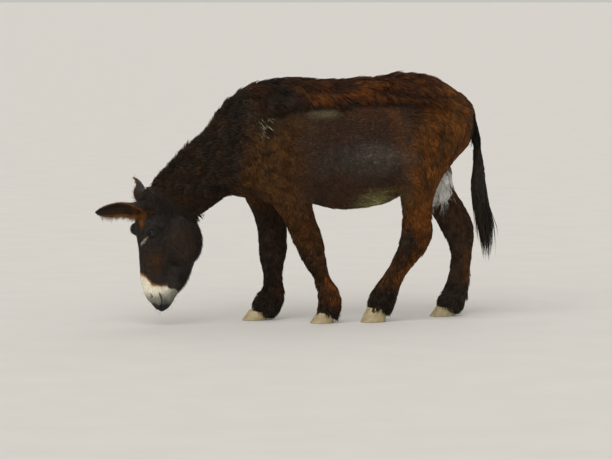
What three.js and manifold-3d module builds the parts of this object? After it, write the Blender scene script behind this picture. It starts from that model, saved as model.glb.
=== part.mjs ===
// A life-size grazing donkey, about 1.22 m at the withers, in a heavy winter coat.
//
// Frame: millimetres, +Z up, the floor at z = 0. The animal faces -X and its left side faces -Y.
// The origin is the middle of the model's bounding box, on the floor.
//
// The flesh is one smooth field: sweeps of elliptic sections along curves and a few ellipsoids, blended
// where they meet. Each node is the field inside its own region, and flat cuts part it from its neighbours.
// The ears, the eyes and the hooves are lofts and spheres of their own. All sizes include the coat.

import * as THREE from "three";
import { mergeVertices } from "three/addons/utils/BufferGeometryUtils.js";
import Module from "manifold-3d";

const wasm = await Module();
wasm.setup();

// ---------------------------------------------------------------- driving dimensions, mm and degrees

const GAP = 0.5; // between two nodes that meet
const HALF_GAP = GAP / 2;
const ROOM = 2; // round a curved surface that a neighbour is cut by, as both are faceted

const NEAR = -1; // the animal's left side, towards -Y
const FAR = 1; // its right side

// Trunk: [x, height of the back, height of the underline, half width]
const TRUNK = [
  [-395, 830, 665, 70],
  [-340, 985, 606, 135],
  [-250, 1150, 592, 180],
  [-130, 1217, 590, 208],
  [40, 1214, 588, 232],
  [200, 1214, 556, 246],
  [320, 1225, 572, 245],
  [400, 1231, 622, 240],
  [470, 1235, 676, 232],
  [560, 1242, 712, 222],
  [640, 1234, 750, 208],
  [720, 1190, 800, 182],
  [776, 1138, 870, 136],
  [790, 1085, 950, 82],
];
const WIDEST = 0.44; // the barrel is widest at this share of its height

// Neck: [x, y, z, half depth, half width]
const NECK = [
  [-170, 0, 965, 226, 150],
  [-270, 0, 894, 190, 138],
  [-385, -6, 832, 170, 118],
  [-495, -18, 770, 162, 102],
  [-620, -32, 668, 150, 90],
  [-715, -44, 610, 128, 80],
];

// The head frame stands at HEAD_AT, turned to the left by HEAD_TURN. Inside it, the face looks along -X.
const HEAD_AT = [-700, -50, 0];
const HEAD_TURN = 20;

// Face: [height, front line of the face, half depth, half width]
const FACE = [
  [655, -142, 50, 48],
  [605, -184, 86, 70],
  [545, -196, 100, 84],
  [480, -190, 106, 88],
  [400, -178, 102, 80],
  [320, -170, 88, 68],
  [240, -156, 76, 58],
  [185, -136, 68, 54],
  [145, -114, 58, 55],
  [118, -92, 42, 48],
  [106, -74, 26, 36],
];
// Jaw: [height, back line of the jaw, half depth, half width]
const JAW = [
  [505, 128, 70, 72],
  [445, 162, 88, 82],
  [390, 168, 92, 80],
  [330, 146, 80, 68],
  [260, 100, 65, 55],
  [200, 56, 50, 46],
  [155, 24, 40, 42],
  [126, 6, 32, 38],
  [108, -12, 20, 28],
];
const CHEEK = { at: [42, 58, 415], radii: [112, 50, 118] };
const BROW = { at: [-142, 68, 490], radii: [46, 34, 46] };

const EYE = { at: [-134, 81, 464], radius: 21 };

// Ears: length, half width at the middle, thickness, and the half angle of the rolled section
const EAR_LENGTH = 300;
const EAR_HALF_WIDTH = 50;
const EAR_THICKNESS = 13;
const EAR_CURL_AT_ROOT = 128;
const EAR_CURL_AT_TIP = 62;
// Where each one starts, points and opens to, in the head frame, and how far its back bows out
const EARS = {
  ear_left: { root: [-126, -55, 594], points: [-0.96, 0.12, -0.05], opens: [0.1, -0.86, -0.5], bow: 14 },
  ear_right: { root: [-114, 50, 600], points: [0.3, 0.86, 0.36], opens: [-0.8, 0.1, -0.4], bow: 12 },
};

// Upper legs, inside the trunk: [x, distance from the midline, z, half depth, half width]
const SHOULDER_LEFT = [
  [-235, 84, 1010, 92, 62],
  [-225, 112, 880, 124, 82],
  [-160, 126, 745, 122, 84],
  [-92, 118, 620, 92, 70],
];
const SHOULDER_RIGHT = [
  [-240, 84, 1010, 92, 62],
  [-240, 112, 880, 124, 82],
  [-215, 126, 745, 118, 84],
  [-182, 118, 620, 92, 70],
];
const THIGH_LEFT = [
  [650, 96, 1050, 120, 92],
  [640, 122, 930, 166, 100],
  [598, 130, 815, 150, 96],
  [556, 130, 715, 121, 82],
];
const THIGH_RIGHT = [
  [650, 96, 1050, 120, 92],
  [656, 122, 930, 156, 100],
  [652, 130, 815, 126, 94],
  [686, 130, 715, 96, 80],
];

// Free legs down to the coronet: the same five numbers
const FORE_LEFT = [
  [-92, 118, 620, 92, 70],
  [-46, 112, 500, 78, 60],
  [-6, 108, 405, 75, 54],
  [22, 108, 318, 61, 54],
  [51, 108, 250, 46, 42],
  [70, 108, 195, 48, 41],
  [93, 108, 140, 63, 50],
  [98, 108, 96, 62, 51],
  [88, 108, 62, 56, 52],
  [84, 108, 40, 52, 50],
];
const FORE_RIGHT = [
  [-182, 118, 620, 92, 70],
  [-156, 112, 500, 81, 60],
  [-149, 108, 405, 77, 54],
  [-150, 108, 318, 70, 54],
  [-149, 108, 250, 56, 43],
  [-146, 108, 195, 56, 42],
  [-146, 108, 140, 64, 50],
  [-170, 108, 96, 76, 52],
  [-190, 108, 64, 72, 53],
  [-200, 108, 40, 58, 50],
];
const HIND_LEFT = [
  [556, 130, 715, 121, 82],
  [541, 124, 610, 86, 66],
  [545, 118, 520, 80, 56],
  [543, 114, 440, 86, 50],
  [512, 112, 362, 70, 46],
  [466, 112, 290, 55, 42],
  [422, 112, 222, 54, 42],
  [385, 112, 150, 66, 50],
  [358, 112, 104, 72, 52],
  [350, 112, 76, 62, 52],
  [344, 112, 50, 54, 50],
];
const HIND_RIGHT = [
  [686, 130, 715, 96, 80],
  [728, 124, 610, 84, 66],
  [782, 118, 515, 88, 56],
  [822, 114, 435, 84, 50],
  [832, 112, 355, 65, 46],
  [831, 112, 285, 58, 42],
  [826, 112, 215, 60, 42],
  [813, 112, 150, 67, 50],
  [788, 112, 100, 76, 52],
  [768, 112, 66, 68, 52],
  [755, 112, 38, 54, 50],
];

// Hooves: x of the toe and of the heel on the floor, and the heights of the coronet at toe and heel
const HOOF_SLOPE = 38; // the toe's wall leans back by this much from floor to coronet
const HEEL_SLOPE = 4; // and the heel's wall by this much
const HOOF_HALF_WIDTH = 50;
const HOOVES = {
  hoof_fore_left: { side: NEAR, y: 108, toe: -3, heel: 116, front: 54, back: 48 },
  hoof_fore_right: { side: FAR, y: 108, toe: -306, heel: -182, front: 52, back: 32 },
  hoof_hind_left: { side: NEAR, y: 112, toe: 254, heel: 384, front: 76, back: 62 },
  hoof_hind_right: { side: FAR, y: 112, toe: 668, heel: 794, front: 52, back: 34 },
};
// The tuft of long hair behind each fetlock, hanging over the heel
const TUFTS = {
  foreleg_left: { at: [140, -108, 66], radii: [34, 30, 40] },
  foreleg_right: { at: [-160, 108, 56], radii: [36, 30, 38] },
  hindleg_left: { at: [400, -112, 86], radii: [34, 30, 34] },
  hindleg_right: { at: [808, 112, 56], radii: [34, 30, 38] },
};

// Tail: [x, z, half depth, half width]
const DOCK = [
  [776, 1126, 30, 28],
  [824, 1094, 26, 26],
  [852, 1040, 25, 24],
  [872, 960, 25, 24],
  [884, 880, 24, 24],
];
const SWITCH = [
  [884, 890, 25, 24],
  [892, 782, 28, 26],
  [891, 694, 38, 32],
  [896, 640, 43, 36],
  [904, 564, 43, 36],
  [920, 476, 36, 30],
  [926, 415, 27, 23],
  [928, 350, 18, 16],
  [929, 306, 13, 12],
];

// Cuts between nodes: planes by a point and a normal, and level cuts by their height
const THROAT_CUT = { at: [-676, 0, 610], normal: [0.547, 0, 0.837] };
const SHOULDER_CUT = { at: [-360, 0, 900], normal: [0.988, 0, -0.153] };
const ELBOW_Z = 576;
const STIFLE_Z = 602;
const KNEE_Z = 322;
const HOCK_Z = 432;
const SWITCH_Z = 882;
const ARMPIT_X = 100; // the forelegs lie in front of this
const GROIN_X = 428; // the hind legs lie behind this

// The box that each node's surface is looked for in, and the cells it is cut into
const GRIDS = {
  head: { low: [-920, -200, 40], high: [-480, 130, 720], cell: 28 },
  neck: { low: [-960, -210, 440], high: [-250, 200, 1260], cell: 50 },
  trunk: { low: [-480, -320, 480], high: [930, 320, 1300], cell: 59 },
  dock: { low: [760, -60, 820], high: [980, 60, 1200], cell: 24 },
  switch: { low: [820, -80, 260], high: [1020, 80, 960], cell: 28 },
};
const UPPER_LEG_CELL = 46;
const LOWER_LEG_CELL = 34;
const TUFT_CELL = 23;
const PAST = 60; // a leg's box goes this far past its cuts
const LEG_BOXES = {
  foreleg_left: [-220, 220],
  foreleg_right: [-340, 20],
  hindleg_left: [230, 700],
  hindleg_right: [600, 960],
};
const INNER_Y = 8;
const OUTER_Y = 250;

// ---------------------------------------------------------------- the field

const clamp = (v, low, high) => Math.min(Math.max(v, low), high);
const catmull = (a, b, c, d, t) =>
  0.5 * (2 * b + (c - a) * t + (2 * a - 5 * b + 4 * c - d) * t * t + (3 * b - a - 3 * c + d) * t * t * t);

// Points between stations, on a curve through them all
function refine(stations, steps = 4) {
  const fine = [];
  for (let i = 0; i < stations.length - 1; i++) {
    const [b, c] = [stations[i], stations[i + 1]];
    const a = stations[i - 1] ?? b.map((v, k) => 2 * v - c[k]);
    const d = stations[i + 2] ?? c.map((v, k) => 2 * v - b[k]);
    for (let s = 0; s < steps; s++) fine.push(b.map((_, k) => catmull(a[k], b[k], c[k], d[k], s / steps)));
  }
  fine.push(stations.at(-1));
  return fine;
}

// About the distance from (u, v, w) to an ellipsoid of radii (a, b, c), negative inside
function ellipsoidal(u, v, w, a, b, c) {
  const near = Math.hypot(u / a, v / b, w / c);
  const slope = Math.hypot(u / a ** 2, v / b ** 2, w / c ** 2);
  return slope < 1e-9 ? -Math.min(a, b) : (near * (near - 1)) / slope;
}

// A sweep of ellipses through stations [x, y, z, radius above, radius below, half width]
function sweep(stations) {
  const parts = [];
  for (let i = 0; i < stations.length - 1; i++) {
    const [s, e] = [stations[i], stations[i + 1]];
    const along = new THREE.Vector3(e[0] - s[0], e[1] - s[1], e[2] - s[2]);
    const length = along.length();
    along.divideScalar(length);
    const across = new THREE.Vector3(0, 1, 0).addScaledVector(along, -along.y).normalize();
    const upright = new THREE.Vector3().crossVectors(along, across);
    if (upright.z < 0 || (Math.abs(upright.z) < 0.3 && upright.x > 0)) upright.negate();
    parts.push({ s, e, along, across, upright, length });
  }
  const CAP = 0.8; // the ends are this round
  return (x, y, z) => {
    let best = Infinity;
    for (const { s, e, along, across, upright, length } of parts) {
      const [dx, dy, dz] = [x - s[0], y - s[1], z - s[2]];
      const run = dx * along.x + dy * along.y + dz * along.z;
      const t = clamp(run / length, 0, 1);
      const past = run - t * length;
      const side = dx * across.x + dy * across.y + dz * across.z;
      const rise = dx * upright.x + dy * upright.y + dz * upright.z;
      const deep = rise > 0 ? s[3] + (e[3] - s[3]) * t : s[4] + (e[4] - s[4]) * t;
      const wide = s[5] + (e[5] - s[5]) * t;
      best = Math.min(best, ellipsoidal(rise, side, past, deep, wide, Math.min(deep, wide) * CAP));
    }
    return best;
  };
}

const ellipsoid = ({ at, radii }, side = 1) => {
  const centre = [at[0], at[1] * side, at[2]];
  return (x, y, z) => ellipsoidal(x - centre[0], y - centre[1], z - centre[2], ...radii);
};

const blend = (a, b, width) => {
  const h = Math.max(width - Math.abs(a - b), 0) / width;
  return Math.min(a, b) - (h * h * width) / 4;
};

const trunk = sweep(
  refine(TRUNK).map(([x, top, bottom, half]) => {
    const middle = bottom + (top - bottom) * WIDEST;
    return [x, 0, middle, top - middle, middle - bottom, half];
  }),
);
const neck = sweep(refine(NECK).map(([x, y, z, deep, half]) => [x, y, z, deep, deep, half]));
const face = sweep(refine(FACE).map(([z, front, deep, half]) => [front + deep, 0, z, deep, deep, half]));
const jaw = sweep(refine(JAW).map(([z, back, deep, half]) => [back - deep, 0, z, deep, deep, half]));
const leg = (stations, side) =>
  sweep(refine(stations).map(([x, y, z, deep, half]) => [x, side * y, z, deep, deep, half]));
const strand = (stations) => sweep(refine(stations).map(([x, z, deep, half]) => [x, 0, z, deep, deep, half]));

const turn = THREE.MathUtils.degToRad(HEAD_TURN);
const [TURN_COS, TURN_SIN] = [Math.cos(turn), Math.sin(turn)];
// A point of the model in the head's own frame, and back
const intoHead = (x, y, z) => {
  const [dx, dy] = [x - HEAD_AT[0], y - HEAD_AT[1]];
  return [dx * TURN_COS + dy * TURN_SIN, -dx * TURN_SIN + dy * TURN_COS, z - HEAD_AT[2]];
};
const outOfHead = ([x, y, z]) =>
  new THREE.Vector3(
    HEAD_AT[0] + x * TURN_COS - y * TURN_SIN,
    HEAD_AT[1] + x * TURN_SIN + y * TURN_COS,
    HEAD_AT[2] + z,
  );

const headPieces = [
  [jaw, 46],
  ...[NEAR, FAR].flatMap((side) => [
    [ellipsoid(CHEEK, side), 40],
    [ellipsoid(BROW, side), 22],
  ]),
];
function head(x, y, z) {
  const [hx, hy, hz] = intoHead(x, y, z);
  return headPieces.reduce((f, [piece, width]) => blend(f, piece(hx, hy, hz), width), face(hx, hy, hz));
}

const upperLegs = [
  [leg(SHOULDER_LEFT, NEAR), 70],
  [leg(SHOULDER_RIGHT, FAR), 70],
  [leg(THIGH_LEFT, NEAR), 56],
  [leg(THIGH_RIGHT, FAR), 56],
];
const freeLegs = {
  foreleg_left: leg(FORE_LEFT, NEAR),
  foreleg_right: leg(FORE_RIGHT, FAR),
  hindleg_left: leg(HIND_LEFT, NEAR),
  hindleg_right: leg(HIND_RIGHT, FAR),
};
const dock = strand(DOCK);

const torso = (x, y, z) =>
  upperLegs.reduce((f, [piece, width]) => blend(f, piece(x, y, z), width), trunk(x, y, z));
const torsoAndLegs = (x, y, z) =>
  Object.values(freeLegs).reduce((f, piece) => blend(f, piece(x, y, z), 36), torso(x, y, z));
const flesh = (x, y, z) => blend(blend(torsoAndLegs(x, y, z), neck(x, y, z), 60), head(x, y, z), 60);

// ---------------------------------------------------------------- from field to mesh

// The surface where field = level, inside a box, on cubic cells: one vertex in each cell that it crosses
function surfaceOf(field, { low, high, cell }, level = 0) {
  const count = low.map((v, i) => Math.ceil((high[i] - v) / cell) + 1);
  const [nx, ny, nz] = count;
  const values = new Float64Array(nx * ny * nz);
  const at = (i, j, k) => (k * ny + j) * nx + i;
  for (let k = 0; k < nz; k++)
    for (let j = 0; j < ny; j++)
      for (let i = 0; i < nx; i++) {
        const edge = i === 0 || j === 0 || k === 0 || i === nx - 1 || j === ny - 1 || k === nz - 1;
        const value = field(low[0] + i * cell, low[1] + j * cell, low[2] + k * cell) - level;
        values[at(i, j, k)] = edge ? Math.max(value, cell * 0.5) : value;
      }
  const points = [];
  const owner = new Int32Array(values.length).fill(-1);
  const corners = [0, 1, 2, 3, 4, 5, 6, 7].map((c) => [c & 1, (c >> 1) & 1, (c >> 2) & 1]);
  for (let k = 0; k < nz - 1; k++)
    for (let j = 0; j < ny - 1; j++)
      for (let i = 0; i < nx - 1; i++) {
        const v = corners.map(([a, b, c]) => values[at(i + a, j + b, k + c)]);
        if (v.every((f) => f < 0) || v.every((f) => f >= 0)) continue;
        const sum = new THREE.Vector3();
        let crossings = 0;
        for (let a = 0; a < 8; a++)
          for (const bit of [1, 2, 4]) {
            const b = a | bit;
            if (b === a || v[a] < 0 === v[b] < 0) continue;
            const t = v[a] / (v[a] - v[b]);
            sum.add(new THREE.Vector3(...corners[a]).lerp(new THREE.Vector3(...corners[b]), t));
            crossings++;
          }
        sum.divideScalar(crossings);
        owner[at(i, j, k)] = points.length;
        points.push(sum.add(new THREE.Vector3(i, j, k)).multiplyScalar(cell).add(new THREE.Vector3(...low)));
      }
  const inside = (p) =>
    p.toArray().every((v, i) => v > low[i] + cell && v < low[i] + (count[i] - 2) * cell);
  points.filter(inside).forEach((p) => settle(p, field, level, cell));
  const faces = [];
  const quad = (a, b, c, d, flip) => {
    const ring = flip ? [a, d, c, b] : [a, b, c, d];
    const [p, q, r, s] = ring.map((n) => points[n]);
    const short = p.distanceTo(r) < q.distanceTo(s);
    faces.push(...(short ? [0, 1, 2, 0, 2, 3] : [0, 1, 3, 1, 2, 3]).map((n) => ring[n]));
  };
  for (let k = 0; k < nz - 1; k++)
    for (let j = 0; j < ny - 1; j++)
      for (let i = 0; i < nx - 1; i++) {
        const here = values[at(i, j, k)] < 0;
        const cells = (di, dj, dk) => owner[at(i - di, j - dj, k - dk)];
        if (here !== values[at(i + 1, j, k)] < 0)
          quad(cells(0, 1, 1), cells(0, 0, 1), cells(0, 0, 0), cells(0, 1, 0), !here);
        if (here !== values[at(i, j + 1, k)] < 0)
          quad(cells(1, 0, 1), cells(1, 0, 0), cells(0, 0, 0), cells(0, 0, 1), !here);
        if (here !== values[at(i, j, k + 1)] < 0)
          quad(cells(1, 1, 0), cells(0, 1, 0), cells(0, 0, 0), cells(1, 0, 0), !here);
      }
  return meshOf(points, faces);
}

// Moves a point along the field's slope on to the surface
function settle(p, field, level, cell) {
  const step = cell * 0.02;
  for (let pass = 0; pass < 3; pass++) {
    const value = field(p.x, p.y, p.z) - level;
    const slope = new THREE.Vector3(
      field(p.x + step, p.y, p.z) - field(p.x - step, p.y, p.z),
      field(p.x, p.y + step, p.z) - field(p.x, p.y - step, p.z),
      field(p.x, p.y, p.z + step) - field(p.x, p.y, p.z - step),
    ).divideScalar(2 * step);
    const steep = slope.lengthSq();
    if (steep > 0.01) p.addScaledVector(slope, clamp(-value / steep, -cell * 0.35, cell * 0.35));
  }
}

// A closed skin over rings of points, each ring with as many points as the others
function loft(rings) {
  const n = rings[0].length;
  const last = rings.length - 1;
  const middle = (ring) => ring.reduce((sum, p) => sum.add(p), new THREE.Vector3()).divideScalar(n);
  const points = [...rings.flat(), middle(rings[0]), middle(rings[last])];
  const faces = [];
  for (let r = 0; r < last; r++)
    for (let i = 0; i < n; i++) {
      const [a, b] = [r * n + i, r * n + ((i + 1) % n)];
      faces.push(a, b, a + n, b, b + n, a + n);
    }
  for (let i = 0; i < n; i++) {
    const next = (i + 1) % n;
    faces.push(rings.length * n, next, i);
    faces.push(rings.length * n + 1, last * n + i, last * n + next);
  }
  return meshOf(points, faces);
}

function meshOf(points, faces) {
  const geometry = new THREE.BufferGeometry().setFromPoints(points);
  geometry.setIndex(faces);
  return geometry;
}

function solidOf(geometry) {
  const bare = new THREE.BufferGeometry();
  bare.setAttribute("position", geometry.getAttribute("position"));
  if (geometry.index) bare.setIndex(geometry.index);
  const merged = mergeVertices(bare, 1e-3);
  return new wasm.Manifold(
    new wasm.Mesh({
      numProp: 3,
      vertProperties: new Float32Array(merged.attributes.position.array),
      triVerts: new Uint32Array(merged.index.array),
    }),
  );
}

function geometryOf(solid) {
  const mesh = solid.getMesh();
  const positions = new Float32Array(mesh.numVert * 3);
  for (let i = 0; i < mesh.numVert; i++)
    positions.set(mesh.vertProperties.subarray(i * mesh.numProp, i * mesh.numProp + 3), i * 3);
  const geometry = new THREE.BufferGeometry();
  geometry.setAttribute("position", new THREE.BufferAttribute(positions, 3));
  geometry.setIndex(new THREE.BufferAttribute(new Uint32Array(mesh.triVerts), 1));
  geometry.computeVertexNormals();
  return geometry;
}

// The largest body of a solid, without the slivers that a cut can leave
const largest = (solid) => solid.decompose().sort((a, b) => b.volume() - a.volume())[0];

const FAR_OFF = 4000;
// Everything behind a plane: the side that its normal points away from, held back by a margin
function behind({ at, normal }, margin = HALF_GAP) {
  const n = new THREE.Vector3(...normal).normalize();
  const box = new THREE.BoxGeometry(FAR_OFF, FAR_OFF, FAR_OFF);
  box.translate(0, 0, -FAR_OFF / 2 - margin);
  box.applyQuaternion(new THREE.Quaternion().setFromUnitVectors(new THREE.Vector3(0, 0, 1), n));
  box.translate(...at);
  return solidOf(box);
}
const inFront = ({ at, normal }) => behind({ at, normal: normal.map((v) => -v) });
const above = (z) => inFront({ at: [0, 0, z], normal: [0, 0, 1] });
const below = (z) => behind({ at: [0, 0, z], normal: [0, 0, 1] });

// ---------------------------------------------------------------- the pieces

const piece = (field, grid, level) => solidOf(surfaceOf(field, grid, level));

const headWhole = piece(flesh, GRIDS.head).intersect(behind(THROAT_CUT));
const headGrown = piece(flesh, GRIDS.head, ROOM);
const neckWhole = piece(flesh, GRIDS.neck);
const trunkWhole = piece(flesh, GRIDS.trunk);
const trunkGrown = piece(flesh, GRIDS.trunk, ROOM);

// A leg's upper and lower solids, cut at the joint and at the coronet
function legSolids(name, side, top, joint, hoof) {
  const [from, to] = LEG_BOXES[name];
  const [inner, outer] = side < 0 ? [-OUTER_Y, INNER_Y] : [-INNER_Y, OUTER_Y];
  const grid = (bottom, high, cell) => ({ low: [from, inner, bottom], high: [to, outer, high], cell });
  const upper = piece(torsoAndLegs, grid(joint - PAST, top + PAST, UPPER_LEG_CELL))
    .intersect(below(top))
    .intersect(above(joint));
  const tuft = piece(ellipsoid(TUFTS[name]), grid(-PAST, joint, TUFT_CELL));
  const lower = piece(freeLegs[name], grid(-PAST, joint + PAST, LOWER_LEG_CELL))
    .intersect(below(joint))
    .intersect(inFront(coronet(hoof)))
    .add(tuft.subtract(closed(hoofGeometry(hoof, GAP))));
  return [largest(upper), largest(lower)];
}

// The plane of a hoof's coronet, facing up
function coronet({ toe, heel, front, back, side, y }) {
  const [x0, x1] = [toe + HOOF_SLOPE, heel + HEEL_SLOPE];
  return { at: [x0, side * y, front], normal: [front - back, 0, x1 - x0] };
}

const HOOF_POINTS = 20;
const HOOF_RINGS = [0, 0.15, 0.85, 1]; // shares of its height
const SOLE_WIDTH = 0.97; // of the hoof's width just above it
const CORONET_WIDTH = 0.87;
const HEEL_WIDTH = 0.84;
// A hoof from its flat sole to its coronet: round at the toe, a little narrower at the heel
function hoofGeometry({ side, y, toe, heel, front, back }, grow = 0) {
  const ring = (t) => {
    const [x0, x1] = [toe + HOOF_SLOPE * t - grow, heel + HEEL_SLOPE * t + grow];
    const wide = HOOF_HALF_WIDTH * (t === 0 ? SOLE_WIDTH : 1 - (1 - CORONET_WIDTH) * t) + grow;
    return Array.from({ length: HOOF_POINTS }, (_, i) => {
      const angle = (2 * Math.PI * i) / HOOF_POINTS;
      const share = (1 - Math.cos(angle)) / 2;
      const waist = 1 - (1 - HEEL_WIDTH) * share ** 2;
      const z = t * (front + (back - front) * share) + (t === 0 ? -grow : 0) + (t === 1 ? grow - GAP : 0);
      return new THREE.Vector3(x0 + (x1 - x0) * share, side * y - Math.sin(angle) * wide * waist, z);
    });
  };
  return loft(HOOF_RINGS.map(ring));
}

const EAR_RINGS = 11;
const EAR_ARC_POINTS = 6;
// An ear's half width at a share of its length: broad low down, with a blunt tip
const earHalfWidth = (t) => EAR_HALF_WIDTH * Math.max((0.78 + 0.5 * t) * (1 - t ** 2.4) ** 0.62, 0.14);
// An ear: a leaf rolled into a scoop, nearly closed at its root and open towards its tip
function earGeometry({ root, points, opens, bow }) {
  const start = outOfHead(root);
  const origin = outOfHead([0, 0, 0]);
  const direction = outOfHead(points).sub(origin).normalize();
  const open = outOfHead(opens).sub(origin);
  open.addScaledVector(direction, -open.dot(direction)).normalize();
  const side = new THREE.Vector3().crossVectors(direction, open);
  const ring = (t) => {
    const unrolled = Math.min(t * 1.5, 1);
    const curl = THREE.MathUtils.degToRad(THREE.MathUtils.lerp(EAR_CURL_AT_ROOT, EAR_CURL_AT_TIP, unrolled));
    const radius = earHalfWidth(t) / Math.sin(Math.min(curl, Math.PI / 2));
    const thick = Math.min(EAR_THICKNESS * (1 - 0.35 * t), radius * 0.7);
    const centre = start
      .clone()
      .addScaledVector(direction, EAR_LENGTH * t)
      .addScaledVector(open, radius * 0.6 - bow * Math.sin(Math.PI * t));
    const arc = (r, from, to) =>
      Array.from({ length: EAR_ARC_POINTS }, (_, i) => {
        const a = from + ((to - from) * i) / (EAR_ARC_POINTS - 1);
        return centre.clone().addScaledVector(open, -r * Math.cos(a)).addScaledVector(side, r * Math.sin(a));
      });
    const lip = curl * 0.93;
    return [...arc(radius, curl, -curl), ...arc(radius - thick, -lip, lip)];
  };
  return loft(Array.from({ length: EAR_RINGS }, (_, i) => ring(i / (EAR_RINGS - 1))));
}

function eyeGeometry(side, grow = 0) {
  const eye = new THREE.SphereGeometry(EYE.radius + grow, 12, 9);
  return eye.translate(...outOfHead([EYE.at[0], side * EYE.at[1], EYE.at[2]]).toArray());
}

// The solid of a closed geometry, whichever way its faces were wound
function closed(geometry) {
  const solid = solidOf(geometry);
  if (solid.volume() > 0) return solid;
  const index = geometry.index.array;
  for (let i = 0; i < index.length; i += 3) [index[i], index[i + 1]] = [index[i + 1], index[i]];
  return solidOf(geometry);
}

// ---------------------------------------------------------------- the model

const COAT = { color: 0x3d2a1c, roughness: 0.85, metalness: 0 };
const DARK_COAT = { color: 0x2a2019, roughness: 0.85, metalness: 0 };
const TAIL_HAIR = { color: 0x1b1a16, roughness: 0.7, metalness: 0 };
const HORN = { color: 0x93835e, roughness: 0.6, metalness: 0 };
const EYEBALL = { color: 0x17100b, roughness: 0.15, metalness: 0 };

const donkey = new THREE.Group();
function addNode(name, solid, look) {
  const mesh = new THREE.Mesh(geometryOf(solid), new THREE.MeshStandardMaterial(look));
  mesh.name = name;
  donkey.add(mesh);
}

const sockets = [NEAR, FAR].map((side) => solidOf(eyeGeometry(side, GAP)));
const headCut = sockets.reduce((solid, socket) => solid.subtract(socket), headWhole);
addNode("head", largest(headCut), DARK_COAT);
const neckCut = neckWhole.intersect(inFront(THROAT_CUT)).intersect(behind(SHOULDER_CUT));
addNode("neck", largest(neckCut), DARK_COAT);

const underElbows = behind({ at: [0, 0, ELBOW_Z], normal: [0, 0, 1] }, -HALF_GAP);
const underStifles = behind({ at: [0, 0, STIFLE_Z], normal: [0, 0, 1] }, -HALF_GAP);
const trunkCut = trunkWhole
  .intersect(inFront(SHOULDER_CUT))
  .subtract(underElbows.intersect(behind({ at: [ARMPIT_X, 0, 0], normal: [1, 0, 0] })))
  .subtract(underStifles.intersect(inFront({ at: [GROIN_X, 0, 0], normal: [1, 0, 0] })));
addNode("trunk", largest(trunkCut), COAT);

const LEGS = [
  ["foreleg_left", NEAR, ELBOW_Z, KNEE_Z, "hoof_fore_left"],
  ["foreleg_right", FAR, ELBOW_Z, KNEE_Z, "hoof_fore_right"],
  ["hindleg_left", NEAR, STIFLE_Z, HOCK_Z, "hoof_hind_left"],
  ["hindleg_right", FAR, STIFLE_Z, HOCK_Z, "hoof_hind_right"],
];
for (const [name, side, top, joint, hoofName] of LEGS) {
  const [upper, lower] = legSolids(name, side, top, joint, HOOVES[hoofName]);
  addNode(`${name}_upper`, upper, COAT);
  addNode(`${name}_lower`, lower, DARK_COAT);
  addNode(hoofName, closed(hoofGeometry(HOOVES[hoofName])), HORN);
}

for (const [name, ear] of Object.entries(EARS))
  addNode(name, largest(closed(earGeometry(ear)).subtract(headGrown)), DARK_COAT);
addNode("eye_left", solidOf(eyeGeometry(NEAR)), EYEBALL);
addNode("eye_right", solidOf(eyeGeometry(FAR)), EYEBALL);

const dockCut = piece(dock, GRIDS.dock).intersect(above(SWITCH_Z)).subtract(trunkGrown);
addNode("tail_dock", largest(dockCut), DARK_COAT);
const switchCut = piece(strand(SWITCH), GRIDS.switch).intersect(below(SWITCH_Z)).subtract(trunkGrown);
addNode("tail_switch", largest(switchCut), TAIL_HAIR);

const box = new THREE.Box3().setFromObject(donkey, true);
const middle = box.getCenter(new THREE.Vector3());
donkey.position.set(-middle.x, -middle.y, -box.min.z);

export default donkey;
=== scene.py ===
"""A life-size donkey in a heavy winter coat, grazing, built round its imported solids.

One hide stands for all the solids of flesh. It is the surface of a smooth field: sweeps of elliptic
sections and a few ellipsoids, melted together, less the depth of the coat. Tufts of hair are grown from
the hide as thin closed blades that follow the lie of the coat. The eyes and the hooves are pieces of
their own. Sizes in the tables are millimetres, in the animal's own frame: it faces -X, its left side
faces -Y, and the floor is at z = 0. Blender's objects are in metres, in the frame of the solids.
"""

import math
from dataclasses import dataclass
from functools import partial

import bmesh
import bpy
import numpy as np
from bpy.props import FloatProperty, FloatVectorProperty, IntProperty, PointerProperty
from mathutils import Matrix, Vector
from mathutils.kdtree import KDTree


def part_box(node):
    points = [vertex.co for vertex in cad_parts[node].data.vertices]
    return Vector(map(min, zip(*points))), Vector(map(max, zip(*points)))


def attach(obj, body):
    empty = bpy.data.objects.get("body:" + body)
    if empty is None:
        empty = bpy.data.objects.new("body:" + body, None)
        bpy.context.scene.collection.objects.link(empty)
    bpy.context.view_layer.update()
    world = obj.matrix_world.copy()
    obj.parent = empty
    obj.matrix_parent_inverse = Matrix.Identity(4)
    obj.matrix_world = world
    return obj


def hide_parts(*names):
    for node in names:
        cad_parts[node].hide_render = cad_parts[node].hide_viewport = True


bl_info = {
    "name": "Grazing Donkey",
    "version": (1, 0, 0),
    "blender": (4, 5, 0),
    "location": "3D View > Sidebar > Donkey",
    "description": "Builds the hide, coat, tail, eyes and hooves of a life-size donkey and its stage",
    "category": "Object",
}

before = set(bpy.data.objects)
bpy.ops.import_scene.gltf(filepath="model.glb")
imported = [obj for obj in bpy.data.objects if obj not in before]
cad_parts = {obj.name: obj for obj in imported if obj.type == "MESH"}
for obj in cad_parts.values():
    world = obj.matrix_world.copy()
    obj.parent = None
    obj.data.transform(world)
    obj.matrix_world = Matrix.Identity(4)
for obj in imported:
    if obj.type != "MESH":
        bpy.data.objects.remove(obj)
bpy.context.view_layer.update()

MM = 0.001
NEAR = -1  # the animal's left side, towards -Y
FAR = 1  # its right side
TOE_X = -3.0  # the left fore hoof's toe, which ties the tables to the solids
SHIFT = np.array([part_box("hoof_fore_left")[0].x / MM - TOE_X, 0.0, 0.0])


def linear(code):
    """An sRGB hex colour as linear red, green and blue."""
    parts = [int(code[i : i + 2], 16) / 255 for i in (1, 3, 5)]
    return tuple(c / 12.92 if c <= 0.04045 else ((c + 0.055) / 1.055) ** 2.4 for c in parts)


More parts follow.
